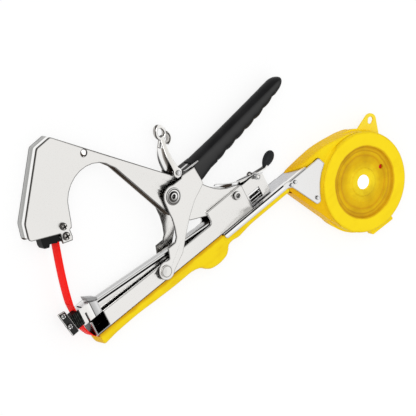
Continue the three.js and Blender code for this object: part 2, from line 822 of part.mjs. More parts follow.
function drivePin() {
  const headLow = plateOuter + seat;
  const head = joined([
    disc(drivePinX, drivePinY, driveHeadRadius, headLow, bodyHalf - driveRingHeight),
    disc(drivePinX, drivePinY, driveRingRadius, headLow, bodyHalf),
  ]);
  const shank = disc(drivePinX, drivePinY, drivePinRadius, -bodyHalf, bodyHalf);
  const hollowLow = bodyHalf - driveHollowDepth;
  const hollow = disc(drivePinX, drivePinY, driveHollow, hollowLow, bodyHalf + overrun, boreSides);
  return cut(joined([shank, head, mirrored(head)]), [hollow, mirrored(hollow)]);
}
add('drive_pin', drivePin(), chrome());

// Handle tang: folded channel between the plates, its ears carry the thumb hook
const hookPinX = 48.5;
const hookPinY = 60.3;
const hookPinRadius = 1.4;
const tangEarRound = 3.8;
const tangEarFrom = 185;
const tangEarTo = 60;
const tangWebLow = 55.5;
const tangStartX = 51.5;
const tangSlope = 6;
const tangWebStart = 3;
const tangStep = 0.2;
const tangLap = 2;
const tangDrop = 9.2;
const tangRise = 6.4;
const tangShare = 0.8;
const plateEdgeX = plateBackShares[0][0] * drivePinDistance;
const tangEndX = plateEdgeX + tangShare * gripLength;
const tangTop = tangWebLow + sheet;

function tangSide() {
  return [
    ...arc(hookPinX, hookPinY, tangEarRound, tangEarFrom, tangEarTo),
    at(hookPinX + tangSlope, tangTop + sheet / 2),
    at(tangStartX + tangWebStart, tangTop, web),
    at(plateEdgeX + tangLap, tangTop - tangStep, web),
    at(tangEndX, tangTop + tangRise),
    at(tangEndX, tangWebLow + tangRise - tangDrop / 2),
    at(plateEdgeX + tangWebStart, tangWebLow - tangDrop),
    at(tangStartX, tangWebLow - tangDrop),
  ];
}

function handleTang() {
  const side = tangSide();
  return cut(slab(side, -frameOuter, frameOuter), [
    slab(inside(side, sheet), -frameInner, frameInner),
    disc(hookPinX, hookPinY, hookPinRadius + bore, -bodyHalf, bodyHalf, boreSides),
  ]);
}
add('handle_tang', handleTang(), chrome());

// Grip: black moulded sleeve pushed over the tang, with finger grooves under it
const gripHalf = 9;
const gripStations = 30;
const gripSides = 16;
const gripTopLift = 0.9;
const gripTopRise = 10.4;
const gripDepth = 18.8;
const groovePitch = 11.5;
const grooveDepth = 0.9;
const grooveStartShare = 0.21;
const grooveEndShare = 0.88;
const tipShare = 0.09;
const tipDrawShare = 0.9;
const tipDrop = 1;
const gripTaperShare = 0.12;
const gripSquareShares = [0.55, 0.85];
const gripSquareRunShare = 0.25;
const gripStartX = plateEdgeX + seat;
const gripTopFront = tangTop + gripTopLift;

// Each row: share along the grip, share of its depth above the front's lower corner
const gripUnderShares = [
  [0, 0], [0.05, 0.06], [0.13, 0.17], [0.22, 0.2], [0.5, 0.44], [0.68, 0.6], [0.84, 0.83], [0.95, 1.02],
  [1, 1.12],
];

function alongTable(table, share) {
  const next = table.findIndex(([place]) => place >= share);
  if (next <= 0) return table[0][1];
  const [a, low] = table[next - 1];
  const [b, high] = table[next];
  return THREE.MathUtils.lerp(low, high, (share - a) / (b - a));
}

function grooveAt(share) {
  if (share <= grooveStartShare || share >= grooveEndShare) return 0;
  const along = (share - grooveStartShare) * gripLength / groovePitch;
  return grooveDepth * (1 - Math.abs(Math.sin(Math.PI * along)));
}

function gripRing(share) {
  const x = gripStartX + share * gripLength;
  const top = gripTopFront + gripTopRise * share;
  const bottom = gripTopFront - gripDepth + gripDepth * alongTable(gripUnderShares, share) + grooveAt(share);
  const tip = Math.max(0, (share - 1 + tipShare) / tipShare);
  const shrink = Math.sqrt(1 - tipDrawShare * tip * tip);
  const middle = (top + bottom) / 2 - tipDrop * tip * tip;
  const tall = (top - bottom) / 2 * shrink;
  const wide = gripHalf * (1 - gripTaperShare * share) * shrink;
  const square = THREE.MathUtils.lerp(...gripSquareShares, Math.min(1, share / gripSquareRunShare));
  return Array.from({ length: gripSides }, (unused, i) => {
    const angle = radians(full) * i / gripSides;
    const across = Math.sign(Math.cos(angle)) * Math.abs(Math.cos(angle)) ** square;
    const up = Math.sign(Math.sin(angle)) * Math.abs(Math.sin(angle)) ** square;
    return new THREE.Vector3(x, middle + tall * up, wide * across);
  });
}

function grip() {
  const rings = Array.from({ length: gripStations + 1 }, (unused, i) => gripRing(i / gripStations)).reverse();
  const tangOutline = tangSide().map((p) => at(p.x, p.y));
  const socket = slab(inside(tangOutline, 0, seat), -frameOuter - seat, frameOuter + seat);
  return cut(solid(loft(rings)), [socket]);
}
add('grip', grip(), black());

// Thumb hook: a forked lever on a pin in the tang's ears, drawn in to a ring at its top
const forkInner = frameOuter + seat;
const forkOuter = forkInner + sheet;
const forkFootRadius = 3.9;
const hookRise = 33.3;
const hookLean = 5.8;
const ringHalf = 2;
const ringWide = 5.2;
const ringTall = 6.8;
const ringHoleShare = 0.52;
const tabRadius = 6.4;
const tabDrop = 5.6;
const tabFrom = -80;
const tabTo = 35;
const ringX = hookPinX + hookLean;
const ringY = hookPinY + hookRise;

// Each row of a leg: across, up and width as shares of the hook's rise, and its share of the way out
const forkShares = [
  [0, 0.06, 0.162, 1], [-0.006, 0.24, 0.138, 1], [0.009, 0.45, 0.126, 0.75], [0.06, 0.66, 0.114, 0.39],
  [0.12, 0.825, 0.108, 0],
];

function forkLeg() {
  const rings = forkShares.map(([across, up, width, outShare]) => {
    const x = hookPinX + across * hookRise;
    const y = hookPinY + up * hookRise;
    const wide = width * hookRise;
    const out = THREE.MathUtils.lerp(ringHalf, forkOuter, outShare);
    return [
      new THREE.Vector3(x - wide / 2, y, out - sheet),
      new THREE.Vector3(x + wide / 2, y, out - sheet),
      new THREE.Vector3(x + wide / 2, y, out),
      new THREE.Vector3(x - wide / 2, y, out),
    ];
  });
  return solid(loft(rings.reverse())).add(disc(hookPinX, hookPinY, forkFootRadius, forkInner, forkOuter));
}

function ellipse(x, y, wide, tall) {
  return Array.from({ length: sidesPerTurn }, (unused, i) => {
    const angle = radians(full) * i / sidesPerTurn;
    return at(x + wide * Math.cos(angle), y + tall * Math.sin(angle));
  });
}

function thumbHook() {
  const leg = forkLeg();
  const ring = slab(ellipse(ringX, ringY, ringWide, ringTall), -ringHalf, ringHalf);
  const tab = slab([
    ...arc(ringX, ringY - tabDrop, tabRadius, tabFrom, tabTo),
    ...arc(ringX, ringY - tabDrop, tabRadius - sheet, tabTo, tabFrom),
  ], -ringHalf, ringHalf);
  return cut(joined([leg, mirrored(leg), ring, tab]), [
    slab(ellipse(ringX, ringY, ringWide * ringHoleShare, ringTall * ringHoleShare), -bodyHalf, bodyHalf),
    disc(hookPinX, hookPinY, hookPinRadius + bore, -bodyHalf, bodyHalf, boreSides),
  ]);
}
add('thumb_hook', thumbHook(), chrome());

// Hook pin: a plain pin with a flat head at each end
const pinHeadHeight = 0.8;
const pinHeadRadius = 2.2;
const pinHeadLow = forkOuter + seat;
const pinHead = disc(hookPinX, hookPinY, pinHeadRadius, pinHeadLow, pinHeadLow + pinHeadHeight, boreSides);
const pinEnd = pinHeadLow + pinHeadHeight / 2;
const hookPin = joined([
  disc(hookPinX, hookPinY, hookPinRadius, -pinEnd, pinEnd, boreSides),
  pinHead,
  mirrored(pinHead),
]);
add('hook_pin', hookPin, chrome());

// Staple magazine: a long box channel on the jaw hinge, pressed down on the driver to staple
const noseOverhang = 5;
const noseFlat = 12.3;
const noseSlope = 7;
const noseLow = 7.3;
const noseHigh = 20.6;
const noseHalf = 5.4;
const magazineTopFront = 17.2;
const magazineTopRear = 4.6;
const magazineLowFront = 6;
const magazineLowRear = -4.9;
const kneeForward = 17.1;
const kneeRun = 4;
const kneeRise = 0.6;
const hingeEarHalf = 6;
const hingeEarRise = 5;
const rearEarStart = 9.6;
const rearEarTop = 12.7;
const magazineTail = 30.4;
const magazineEndTop = 8.8;
const magazineEndLow = -7.5;
const latchPinBack = 23.3;
const latchPinY = 12;
const latchPinRadius = 1.2;
const latchEarRadius = 2.6;
const latchEarTurn = 160;
const windowBack = 10.4;
const windowLength = 12;
const windowLow = -6;
const windowHigh = 2.8;
const noseFront = frameFrontX - noseOverhang;
const noseSeam = noseFront + noseFlat;
const noseRear = noseSeam + noseSlope;
const magazineKneeX = hingeX - kneeForward;
const magazineEndX = hingeX + magazineTail;
const latchPinX = hingeX + latchPinBack;
const windowX = hingeX + windowBack;

function magazineTopAt(x) {
  return THREE.MathUtils.mapLinear(x, noseRear, magazineKneeX, magazineTopFront, magazineTopRear);
}

function magazineBody() {
  const side = [
    at(noseRear + seat, magazineLowFront, web),
    at(magazineKneeX, magazineLowRear, web),
    at(magazineEndX, magazineEndLow),
    at(magazineEndX, magazineEndTop, web),
    ...arc(latchPinX, latchPinY, latchEarRadius, 0, latchEarTurn),
    at(hingeX + rearEarStart, rearEarTop, web),
    at(hingeX + hingeEarHalf, hingeY + hingeEarRise, web),
    at(hingeX - hingeEarHalf, hingeY + hingeEarRise, web),
    at(magazineKneeX + kneeRun, magazineTopRear + kneeRise, web),
    at(magazineKneeX, magazineTopRear, web),
    at(noseRear + seat, magazineTopFront),
  ];
  const inner = magazineHalf - magazineWall;
  const leverRoom = block(
    leverLine[0].x - seat, magazineEndX + overrun, magazineEndTop + seat, leverLine[0].y + 2 * sheet,
    -leverHalf - seat, leverHalf + seat,
  );
  return cut(slab(side, -magazineHalf, magazineHalf), [
    slab(inside(side, magazineWall), -inner, inner),
    block(windowX, windowX + windowLength, windowLow, windowHigh, -bodyHalf, bodyHalf),
    leverRoom,
    disc(hingeX, hingeY, hingePinRadius + bore, -bodyHalf, bodyHalf),
    disc(latchPinX, latchPinY, latchPinRadius + bore, -bodyHalf, bodyHalf, boreSides),
  ]);
}

// Latch lever: swings up to free the pusher when the magazine is filled
const leverHalf = 2.4;
const leverBarrelWall = 0.85;
const knobOut = 19.1;
const knobUp = 2.2;
const knobLean = 28;
const knobLong = 7.4;
const knobTall = 4.6;
const knobRingShares = [-1, -0.92, -0.7, -0.35, 0.05, 0.45, 0.78, 0.95, 1];
const knobGirthShares = [0.72, 1.05];
const knobTipShare = 0.1;

// Each row: share of the knob's distance from the latch pin, across and up
const leverShares = [[-0.7, 0.175], [0.267, -0.031], [0.6335, -0.0785], [0.79, -0.031]];
const leverLine = leverShares.map(([across, up]) => at(latchPinX + across * knobOut, latchPinY + up * knobOut));

function latchLever() {
  const barrelRadius = latchPinRadius + bore + leverBarrelWall;
  const barrel = disc(latchPinX, latchPinY, barrelRadius, -leverHalf, leverHalf, boreSides);
  return cut(slab(ribbon(leverLine, sheet / 2), -leverHalf, leverHalf).add(barrel), [
    disc(latchPinX, latchPinY, latchPinRadius + bore, -bodyHalf, bodyHalf, boreSides),
  ]);
}

function latchKnob() {
  const lean = radians(knobLean);
  const rings = knobRingShares.map((place) => {
    const round = Math.max(knobTipShare, Math.sqrt(1 - place * place));
    const girth = knobTall * round * THREE.MathUtils.lerp(...knobGirthShares, (place + 1) / 2);
    return Array.from({ length: pinSides }, (unused, i) => {
      const angle = radians(full) * i / pinSides;
      const up = girth * Math.cos(angle);
      const along = knobLong * place;
      return new THREE.Vector3(
        latchPinX + knobOut + along * Math.cos(lean) - up * Math.sin(lean),
        latchPinY + knobUp + along * Math.sin(lean) + up * Math.cos(lean),
        girth * Math.sin(angle),
      );
    });
  });
  const [neck, end] = leverLine.slice(-2).map((p) => new THREE.Vector2(p.x, p.y));
  const beyond = end.clone().sub(neck).setLength(end.distanceTo(neck) + seat).add(neck);
  const neckLine = ribbon([leverLine[1], neck, beyond], sheet / 2 + seat);
  const room = slab(neckLine, -leverHalf - seat, leverHalf + seat);
  return cut(solid(loft(rings)), [room]);
}
add('magazine_body', magazineBody(), chrome());
add('latch_lever', latchLever(), chrome());
add('latch_knob', latchKnob(), black());

// Latch pin, through the magazine's two rear ears
const latchPinLow = -4.7;
const latchPinHigh = 8.6;
add('latch_pin', disc(latchPinX, latchPinY, latchPinRadius, latchPinLow, latchPinHigh, boreSides), steel());

// Return spring: one wire, its coil round the latch pin and its hooked leg over the arm's rear edge
const springWire = 0.45;
const springSlack = 0.2;
const springCoils = 3;
const springPitch = 1.5;
const springStart = 75;
const springLegZ = 4.7;
const springHookDrop = 1;
const springReach = 36.2;
const springTail = 4.2;
const springRadius = latchPinRadius + bore + springWire + springSlack;
const springLow = magazineHalf + seat + springWire;

// Each row: share of the leg's reach from the latch pin, and for the tail of its length from the coil
const springLegShares = [[-0.936, 0.453], [-0.729, 0.32], [-0.481, 0.193], [-0.177, 0.099]];
const springHookShares = [-1, 0.459];
const springTailShares = [[0.714, -0.19], [1, -0.286]];

function returnSpring() {
  const legPoint = ([across, up], z) => (
    new THREE.Vector3(latchPinX + across * springReach, latchPinY + up * springReach, z)
  );
  const coil = Array.from({ length: springCoils * coilSteps + 1 }, (unused, i) => {
    const angle = radians(springStart - full * i / coilSteps);
    return new THREE.Vector3(
      latchPinX + springRadius * Math.cos(angle),
      latchPinY + springRadius * Math.sin(angle),
      springLow + springPitch * i / coilSteps,
    );
  });
  const last = coil.at(-1);
  const tail = springTailShares.map(([across, up]) => (
    new THREE.Vector3(last.x + across * springTail, last.y + up * springTail, last.z)
  ));
  leastGap('return_spring', coil, springWire, coilSteps);
  return wire([
    legPoint(springHookShares, springLegZ - springHookDrop),
    ...springLegShares.map((row) => legPoint(row, springLegZ)),
    ...coil,
    ...tail,
  ], springWire);
}

// Magazine nose: the block that the driver blade runs through
const driverX = frameFrontX + sheet / 2;
const driverThick = 0.8;
const driverHalf = 3;
const nosePress = 8.5;
const noseRound = 1;
const noseStep = 0.4;
const noseFrontDrop = 0.5;
const nosePlate = 2;
const noseRearTop = magazineTopFront + noseStep;

function magazineNose() {
  const side = rounded([
    at(noseFront, noseLow, { r: noseRound }),
    at(noseRear, noseLow),
    at(noseRear, noseRearTop),
    at(noseSeam, noseHigh, { r: noseRound }),
    at(noseFront, noseHigh - noseFrontDrop, { r: 3 * noseRound / 2 }),
  ]);
  const inner = magazineHalf - magazineWall;
  const bladeRoom = driverThick / 2 + seat;
  const webRoom = sheet / 2 + seat;
  return cut(slab(side, -noseHalf, noseHalf), [
    block(driverX - webRoom, driverX + webRoom, noseLow - overrun, noseLow + nosePress, -bodyHalf, bodyHalf),
    block(
      driverX - bladeRoom, driverX + bladeRoom,
      noseLow, noseHigh + overrun,
      -driverHalf - seat, driverHalf + seat,
    ),
    block(driverX, noseRear + overrun, noseLow + nosePlate, magazineTopFront - magazineWall, -inner, inner),
  ]);
}
add('magazine_nose', magazineNose(), chrome());

// Driver blade: stands on the frame's front web and pushes one staple out
const bladeDrop = 1;
const driverBlade = block(
  driverX - driverThick / 2, driverX + driverThick / 2,
  frontWebTop + seat, noseLow + nosePress - bladeDrop,
  -driverHalf, driverHalf,
);
add('driver_blade', driverBlade, steel());

// Raised cover of the nose: a folded plate over the staple exit
const coverHalf = 5;
const coverLap = 0.6;
const coverRun = 4;
const coverRear = 2.2;
const coverShoulder = 5.2;
const coverTop = 4;
const cover = slab([
  at(noseSeam - coverLap, noseHigh + seat),
  at(noseSeam, noseHigh + seat),
  at(noseRear, noseRearTop + seat),
  at(noseRear + coverRun, magazineTopFront + seat),
  at(noseRear + coverRun, magazineTopFront + coverRear),
  at(noseRear - coverLap, magazineTopFront + coverShoulder),
  at(noseSeam - coverLap, noseHigh + coverTop),
], -coverHalf, coverHalf);
add('nose_cover', cover, steel());

// Staples, pusher, spring and rod inside the magazine, along its slant
const stapleTop = 1.85;
const stapleDepth = 5;
const stapleWire = 0.6;
const stapleLength = 57;
const pusherLength = 11.6;
const pusherDepth = 6.4;
const feedHalf = magazineHalf - magazineWall - seat;
const stapleStartX = driverX + driverThick / 2 + 2 * seat;
const stapleEndX = stapleStartX + stapleLength;
const pusherStartX = stapleEndX + seat;
const pusherEndX = pusherStartX + pusherLength;

function sloped(x, drop) {
  return at(x, magazineTopAt(x) - drop);
}

function slopedBar(x0, x1, top, low, halfWidth) {
  return slab([sloped(x0, low), sloped(x1, low), sloped(x1, top), sloped(x0, top)], -halfWidth, halfWidth);
}

const staples = cut(slopedBar(stapleStartX, stapleEndX, stapleTop, stapleTop + stapleDepth, feedHalf), [
  slopedBar(
    stapleStartX - overrun, stapleEndX + overrun,
    stapleTop + stapleWire, stapleTop + stapleDepth + overrun,
    feedHalf - stapleWire,
  ),
]);
add('staple_strip', staples, steel());

const rodDrop = 5.2;
const rodRadius = 0.7;
const rodLap = 10;
const catchBack = 6.9;
const catchX = hingeX + catchBack;

function rodPoint(x) {
  const p = sloped(x, rodDrop);
  return new THREE.Vector3(p.x, p.y, 0);
}
const pusherBlock = cut(slopedBar(pusherStartX, pusherEndX, stapleTop, stapleTop + pusherDepth, feedHalf), [
  rod(rodPoint(pusherStartX - 2 * overrun), rodPoint(pusherEndX + 2 * overrun), rodRadius + bore),
]);
add('staple_pusher', pusherBlock, steel());
add('pusher_rod', rod(rodPoint(pusherEndX - rodLap), rodPoint(catchX - seat), rodRadius), steel());

// Pusher spring: wound round the rod, from the pusher to the catch
const pusherCoils = 12;
const pusherSpringWire = 0.35;
const pusherSpringRadius = 1.7;
const pusherSpringSeat = 2;
const pusherSpringEnd = 4;

function pusherSpring() {
  const start = rodPoint(pusherEndX + pusherSpringSeat);
  const end = rodPoint(catchX - pusherSpringEnd);
  const axis = end.clone().sub(start);
  const up = new THREE.Vector3(-axis.y, axis.x, 0).normalize();
  const steps = pusherCoils * coilSteps;
  const coil = Array.from({ length: steps + 1 }, (unused, i) => {
    const angle = radians(full) * i / coilSteps;
    const turn = start.clone().addScaledVector(axis, i / steps);
    turn.addScaledVector(up, pusherSpringRadius * Math.cos(angle));
    turn.z += pusherSpringRadius * Math.sin(angle);
    return turn;
  });
  leastGap('pusher_spring', coil, pusherSpringWire, coilSteps);
  return wire(coil, pusherSpringWire);
}
add('pusher_spring', pusherSpring(), springSteel());

// Magazine catch: the end piece that holds the rod, seen through the loading window
const catchEndGap = 6;
const catchFoot = 0.9;
const catchHead = 0.6;
const slotEdge = 1;

// Each row: a slot's length as a share of the window's, its foot and its head as shares of the window's height
const catchSlotShares = [[0.75, 0.59, 0.7], [0.58, 0.25, 0.39]];
const magazineCatch = cut(
  block(catchX, magazineEndX - catchEndGap, windowLow + catchFoot, windowHigh - catchHead, -feedHalf, feedHalf),
  catchSlotShares.map(([long, foot, head]) => block(
    windowX + slotEdge, windowX + slotEdge + long * windowLength,
    THREE.MathUtils.lerp(windowLow, windowHigh, foot), THREE.MathUtils.lerp(windowLow, windowHigh, head),
    -bodyHalf, bodyHalf,
  )),
);
add('magazine_catch', magazineCatch, steel());

// Front tape gate: black block that keeps the tape on the nose, on a screwed metal bracket
const gateGap = 1.7;
const gateThick = 8.2;
const gateLow = 9.4;
const gateHigh = 22.4;
const gateHalf = 6.8;
const gateArm = 1.2;
const gateArmLap = 1;
const gateArmReach = 3.6;
const gateArmLow = 3;
const gateArmHigh = 4;
const gateBack = noseFront - gateGap;
const gateFront = gateBack - gateThick;
const gate = joined([
  block(gateFront, gateBack, gateLow, gateHigh, -gateHalf, gateHalf),
  block(
    gateBack - gateArmLap, noseFront + gateArmReach,
    gateLow + gateArmLow, gateHigh - gateArmHigh,
    -guideInner - gateArm, -guideInner,
  ),
]);
add('tape_gate', gate, black());

const bracketLean = 2.6;
const bracketDeep = 6.2;
const bracketTop = 31.6;
const bracketLow = 9;
const bracketHalf = 7;
const bracketScrewRadius = 2.5;
const bracketScrewDepth = 4;
const bracketBoreDepth = 5;
const highScrewDrop = 4.4;
const lowScrewRise = 7.5;
const bracketFoot = gateFront - seat;

function bracketFrontAt(y) {
  return bracketFoot - bracketLean * Math.max(0, (y - gateHigh) / (bracketTop - gateHigh));
}

const bracketScrewPlaces = [bracketTop - highScrewDrop, bracketLow + lowScrewRise]
  .map((y) => at(bracketFrontAt(y) - bracketDeep / 2, y));

const bracket = cut(slab([
  at(bracketFoot - bracketDeep, bracketLow),
  at(bracketFoot, bracketLow),
  at(bracketFoot, gateHigh),
  at(bracketFoot - bracketLean, bracketTop),
  at(bracketFoot - bracketLean - bracketDeep, bracketTop),
], -bracketHalf, bracketHalf), bracketScrewPlaces.map((p) => (
  disc(p.x, p.y, screwShank + bore, bracketHalf - bracketBoreDepth, bodyHalf, pinSides)
)));
add('front_bracket', bracket, chrome());
addEach('bracket_screw', bracketScrewPlaces.map((p) => (
  panScrew(p.x, p.y, bracketScrewRadius, bracketHalf + seat, bracketHalf - bracketScrewDepth)
)), chrome);

// Red tape: from the roll through the neck and the guide, up past the nose to the clamp
const tapeStart = 2.5;
const tapeLift = 0.6;
const tapeNoseGap = 1;
const tapeJoint = 27.6;
const tapeX = noseFront - tapeNoseGap;
const tapeEndShares = [-0.7945, 0.3265];
const tapeFeedPath = [
  [hubX + tapeStart, hubY + rollRadius + tapeLift], [136, -15.2], [118, -14.6], [60, -13], [20, -12],
  [-60, -10.4], [-73, -8.9], [-79.7, -6.9], [-80.4, -2], [tapeX, 8], [tapeX, tapeJoint],
];
const tapeStripPath = [at(tapeX, tapeJoint + seat), armPoint(tapeEndShares)];

function tape(path) {
  return slab(ribbon(path, tapeThickness / 2), -tapeWidth / 2, tapeWidth / 2);
}
add('tape_feed', tape(tapeFeedPath.map(([x, y]) => at(x, y))), red());
add('tape_strip', tape(tapeStripPath), red());

// Jaw hinge rivet: a hollow rivet through frame, arm and magazine
const hingeHeadRadius = 3.4;
const hingeHeadHeight = 1.2;
const hingeHollow = 1.2;
const hingeHeadLow = frameOuter + seat;
const hingeHead = disc(hingeX, hingeY, hingeHeadRadius, hingeHeadLow, hingeHeadLow + hingeHeadHeight);
const hingeHole = disc(hingeX, hingeY, hingeHollow, frameInner, bodyHalf, pinSides);
const hingeEnd = hingeHeadLow + hingeHeadHeight / 2;
const hingeShank = disc(hingeX, hingeY, hingePinRadius, -hingeEnd, hingeEnd);
const hingeSolid = joined([hingeShank, hingeHead, mirrored(hingeHead)]);
add('hinge_rivet', cut(hingeSolid, [hingeHole, mirrored(hingeHole)]), chrome());

// Tail rivets: join the case's neck between the cheeks
const tailRivetHead = 0.7;
const tailHeadLow = tailOuter + seat;
const tailRivetEnd = tailHeadLow + tailRivetHead / 2;
const rivets = tailRivets.map(({ x, y }) => {
  const head = disc(x, y, tailRivetRadius, tailHeadLow, tailHeadLow + tailRivetHead, pinSides);
  const shank = disc(x, y, tailShankRadius, -tailRivetEnd, tailRivetEnd, pinSides);
  return joined([shank, head, mirrored(head)]);
});
addEach('tail_rivet', rivets, chrome);
add('return_spring', returnSpring(), springSteel());

tool.updateMatrixWorld(true);
const box = new THREE.Box3().setFromObject(tool);
const centre = box.getCenter(new THREE.Vector3());
tool.position.set(-centre.x, -centre.y, -box.min.z);

export default tool;
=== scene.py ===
"""Looks of a plant tying tool, a plier that draws tape round a stem, staples it and cuts it."""
import math

import bmesh
import bpy
from mathutils import Matrix, Vector


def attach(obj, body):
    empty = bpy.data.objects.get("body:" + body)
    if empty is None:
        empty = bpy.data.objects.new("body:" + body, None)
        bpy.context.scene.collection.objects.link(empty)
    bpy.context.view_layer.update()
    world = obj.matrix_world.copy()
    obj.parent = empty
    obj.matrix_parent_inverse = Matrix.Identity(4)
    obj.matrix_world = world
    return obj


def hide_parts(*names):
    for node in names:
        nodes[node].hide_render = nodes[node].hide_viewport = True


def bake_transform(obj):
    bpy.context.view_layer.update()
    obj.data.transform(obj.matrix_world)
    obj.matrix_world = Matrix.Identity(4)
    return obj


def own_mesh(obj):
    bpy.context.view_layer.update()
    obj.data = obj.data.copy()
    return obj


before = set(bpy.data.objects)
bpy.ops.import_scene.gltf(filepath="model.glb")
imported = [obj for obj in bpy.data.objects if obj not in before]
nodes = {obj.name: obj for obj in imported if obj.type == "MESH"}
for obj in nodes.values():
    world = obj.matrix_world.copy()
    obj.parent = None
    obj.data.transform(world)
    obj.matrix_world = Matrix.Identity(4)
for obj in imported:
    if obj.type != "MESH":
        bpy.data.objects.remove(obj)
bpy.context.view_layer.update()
scene = bpy.context.scene
scene.view_settings.view_transform = "Standard"
mm = 0.001


# The camera: a long lens that looks down on the tool from its front end, turned so
# that the tape case rises to the right.
picture_width = 324.3 * mm
lens_length = 1600
sensor_width = 36
view_azimuth = math.radians(224.33)
view_elevation = math.radians(52.42)
view_roll = math.radians(102.47)
view_centre = Vector((-1.8, -16.2, 8.0)) * mm

towards_camera = Vector((
    math.sin(view_azimuth) * math.cos(view_elevation),
    -math.cos(view_azimuth) * math.cos(view_elevation),
    math.sin(view_elevation),
))
level_right = Vector((0, 0, 1)).cross(towards_camera).normalized()
level_up = towards_camera.cross(level_right)
picture_right = math.cos(view_roll) * level_right + math.sin(view_roll) * level_up
picture_up = towards_camera.cross(picture_right)
camera_distance = picture_width * lens_length / sensor_width

camera_data = bpy.data.cameras.new("photo_camera")
camera_data.lens = lens_length
camera_data.sensor_width = sensor_width
camera_data.clip_end = 3 * camera_distance
camera = bpy.data.objects.new("photo_camera", camera_data)
turn = Matrix((picture_right, picture_up, towards_camera)).transposed()
camera.matrix_world = Matrix.Translation(view_centre + towards_camera * camera_distance) @ turn.to_4x4()
scene.collection.objects.link(camera)
scene.camera = camera


# The studio: a white sweep under the tool, an even bright world and one broad lamp.
# The sweep shows white to the eye and in metal, and keeps a faint shadow.
floor_size = 3
floor_white = (0.98, 0.98, 0.98, 1)
plain_light = (1, 1, 1, 1)
floor_glow = 1.02
shadow_share = 0.22
world_level = 0.75
lamp_level = 0.95
lamp_spread = math.radians(40)
lamp_from = Vector((-0.38, 0.5, 0.9))


def feed(socket, value):
    """Links a node's output to an input, or sets the input to a plain value."""
    if isinstance(value, bpy.types.NodeSocket):
        socket.id_data.links.new(value, socket)
    else:
        socket.default_value = value


def node(tree, kind, *values, **settings):
    """The first output of a new node. Plain values feed its inputs in turn, settings with a
    capital letter feed the input of that name, and the others are the node's own options."""
    made = tree.nodes.new("ShaderNode" + kind)
    for socket, value in zip(made.inputs, values):
        feed(socket, value)
    for name, value in settings.items():
        if name[0].isupper():
            feed(made.inputs[name.replace("_", " ")], value)
        else:
            setattr(made, name, value)
    return made.outputs[0] if made.outputs else None


def seen_directly(tree):
    """1 for the eye, for mirror reflections and through glass, 0 for light on the tool."""
    path = node(tree, "LightPath").node.outputs
    total = path["Is Camera Ray"]
    for other in ("Is Glossy Ray", "Is Transmission Ray"):
        total = node(tree, "Math", total, path[other], operation="MAXIMUM")
    return total


def white_floor():
    material = bpy.data.materials.new("white_floor")
    material.use_nodes = True
    tree = material.node_tree
    tree.nodes.clear()
    matte = node(tree, "BsdfDiffuse", floor_white)
    glow = node(tree, "Emission", plain_light, floor_glow)
    blend = node(tree, "MixShader", 1 - shadow_share, matte, glow)
    node(tree, "OutputMaterial", node(tree, "MixShader", seen_directly(tree), matte, blend))
    return material


floor_mesh = bpy.data.meshes.new("floor")
corners = [(x * floor_size, y * floor_size, 0) for x, y in ((-1, -1), (1, -1), (1, 1), (-1, 1))]
floor_mesh.from_pydata(corners, [], [(0, 1, 2, 3)])
floor_mesh.materials.append(white_floor())
floor = bpy.data.objects.new("floor", floor_mesh)
scene.collection.objects.link(floor)

world = bpy.data.worlds.new("white_studio")
scene.world = world
world.use_nodes = True
sky = world.node_tree
sky.nodes.clear()
soft = node(sky, "Background", plain_light, world_level)
bright = node(sky, "Background", plain_light, 1.0)
node(sky, "OutputWorld", node(sky, "MixShader", seen_directly(sky), soft, bright))

lamp_data = bpy.data.lights.new("broad_lamp", "SUN")
lamp_data.energy = lamp_level
lamp_data.angle = lamp_spread
lamp = bpy.data.objects.new("broad_lamp", lamp_data)
lamp.location = lamp_from
lamp.rotation_mode = "QUATERNION"
lamp.rotation_quaternion = (-lamp_from).to_track_quat("-Z", "Y")
scene.collection.objects.link(lamp)


# The frame channel: nickel-plated steel sheet, blanked and folded into a long trough
# with one upright at its rear. Its flat sides are polished; the dark and bright bands on its
# sheared edges are painted reflections, and its dark inner faces are painted shade.
drawing_origin = Vector((-65.6, -29.781, 10.0))
sheet_face = (0.84, 0.825, 0.8)
# Random darker tone on the flat faces, and the painted shade of the sweep across the arm's head.
sheet_tone_and_shade = (0.78, 0.77, 0.75)
sheet_white = (0.93, 0.925, 0.915)
sheet_grey = (0.42, 0.42, 0.41)
sheet_line = (0.09, 0.085, 0.08)
sheet_black = (0.006, 0.005, 0.005)
# Painted shade for the inner faces of the folded channels, which lie in shadow.
sheet_inside_shade = (0.02, 0.016, 0.013)
frame_half = 6.9
# Painted reflections: dark and bright bands across the frame's edges, from far side to near side.
frame_wall = ((0.0, sheet_line), (0.07, sheet_white), (0.12, sheet_white), (0.15, sheet_black),
              (0.86, sheet_black), (0.88, sheet_white), (1.0, sheet_white))
weld_gap = 0.002
gap_samples = 16
rim_reach = 1.15


def at(x, y, z=0.0):
    """A place on the maker's drawing, in millimetres from the handle's pivot and the tool's middle."""
    return (drawing_origin + Vector((x, y, z))) * mm


def opaque(colour):
    """A colour, or a plain number for a grey, as a shader takes it."""
    return (*colour, 1) if isinstance(colour, tuple) else (colour, colour, colour, 1)


def ramp(value, stops, kind="LINEAR"):
    """A colour ramp over value, from rows of (place, colour)."""
    made = node(value.id_data, "ValToRGB", value).node
    made.color_ramp.interpolation = kind
    points = made.color_ramp.elements
    while len(points) < len(stops):
        points.new(1)
    for point, (place, colour) in zip(points, stops):
        point.position = place
        point.color = opaque(colour)
    return made.outputs[0]


def share_ramp(value, low, high):
    """0 below low and 1 above high, or the other way round where low is the larger."""
    return node(value.id_data, "MapRange", value, low, high)


def maths(operation, *values):
    """One sum on outputs and numbers."""
    linked = [value for value in values if isinstance(value, bpy.types.NodeSocket)]
    return node(linked[0].id_data, "Math", *values, operation=operation)


def minus(first, second):
    return maths("SUBTRACT", first, second)


def times(first, *others):
    for other in others:
        first = maths("MULTIPLY", first, other)
    return first


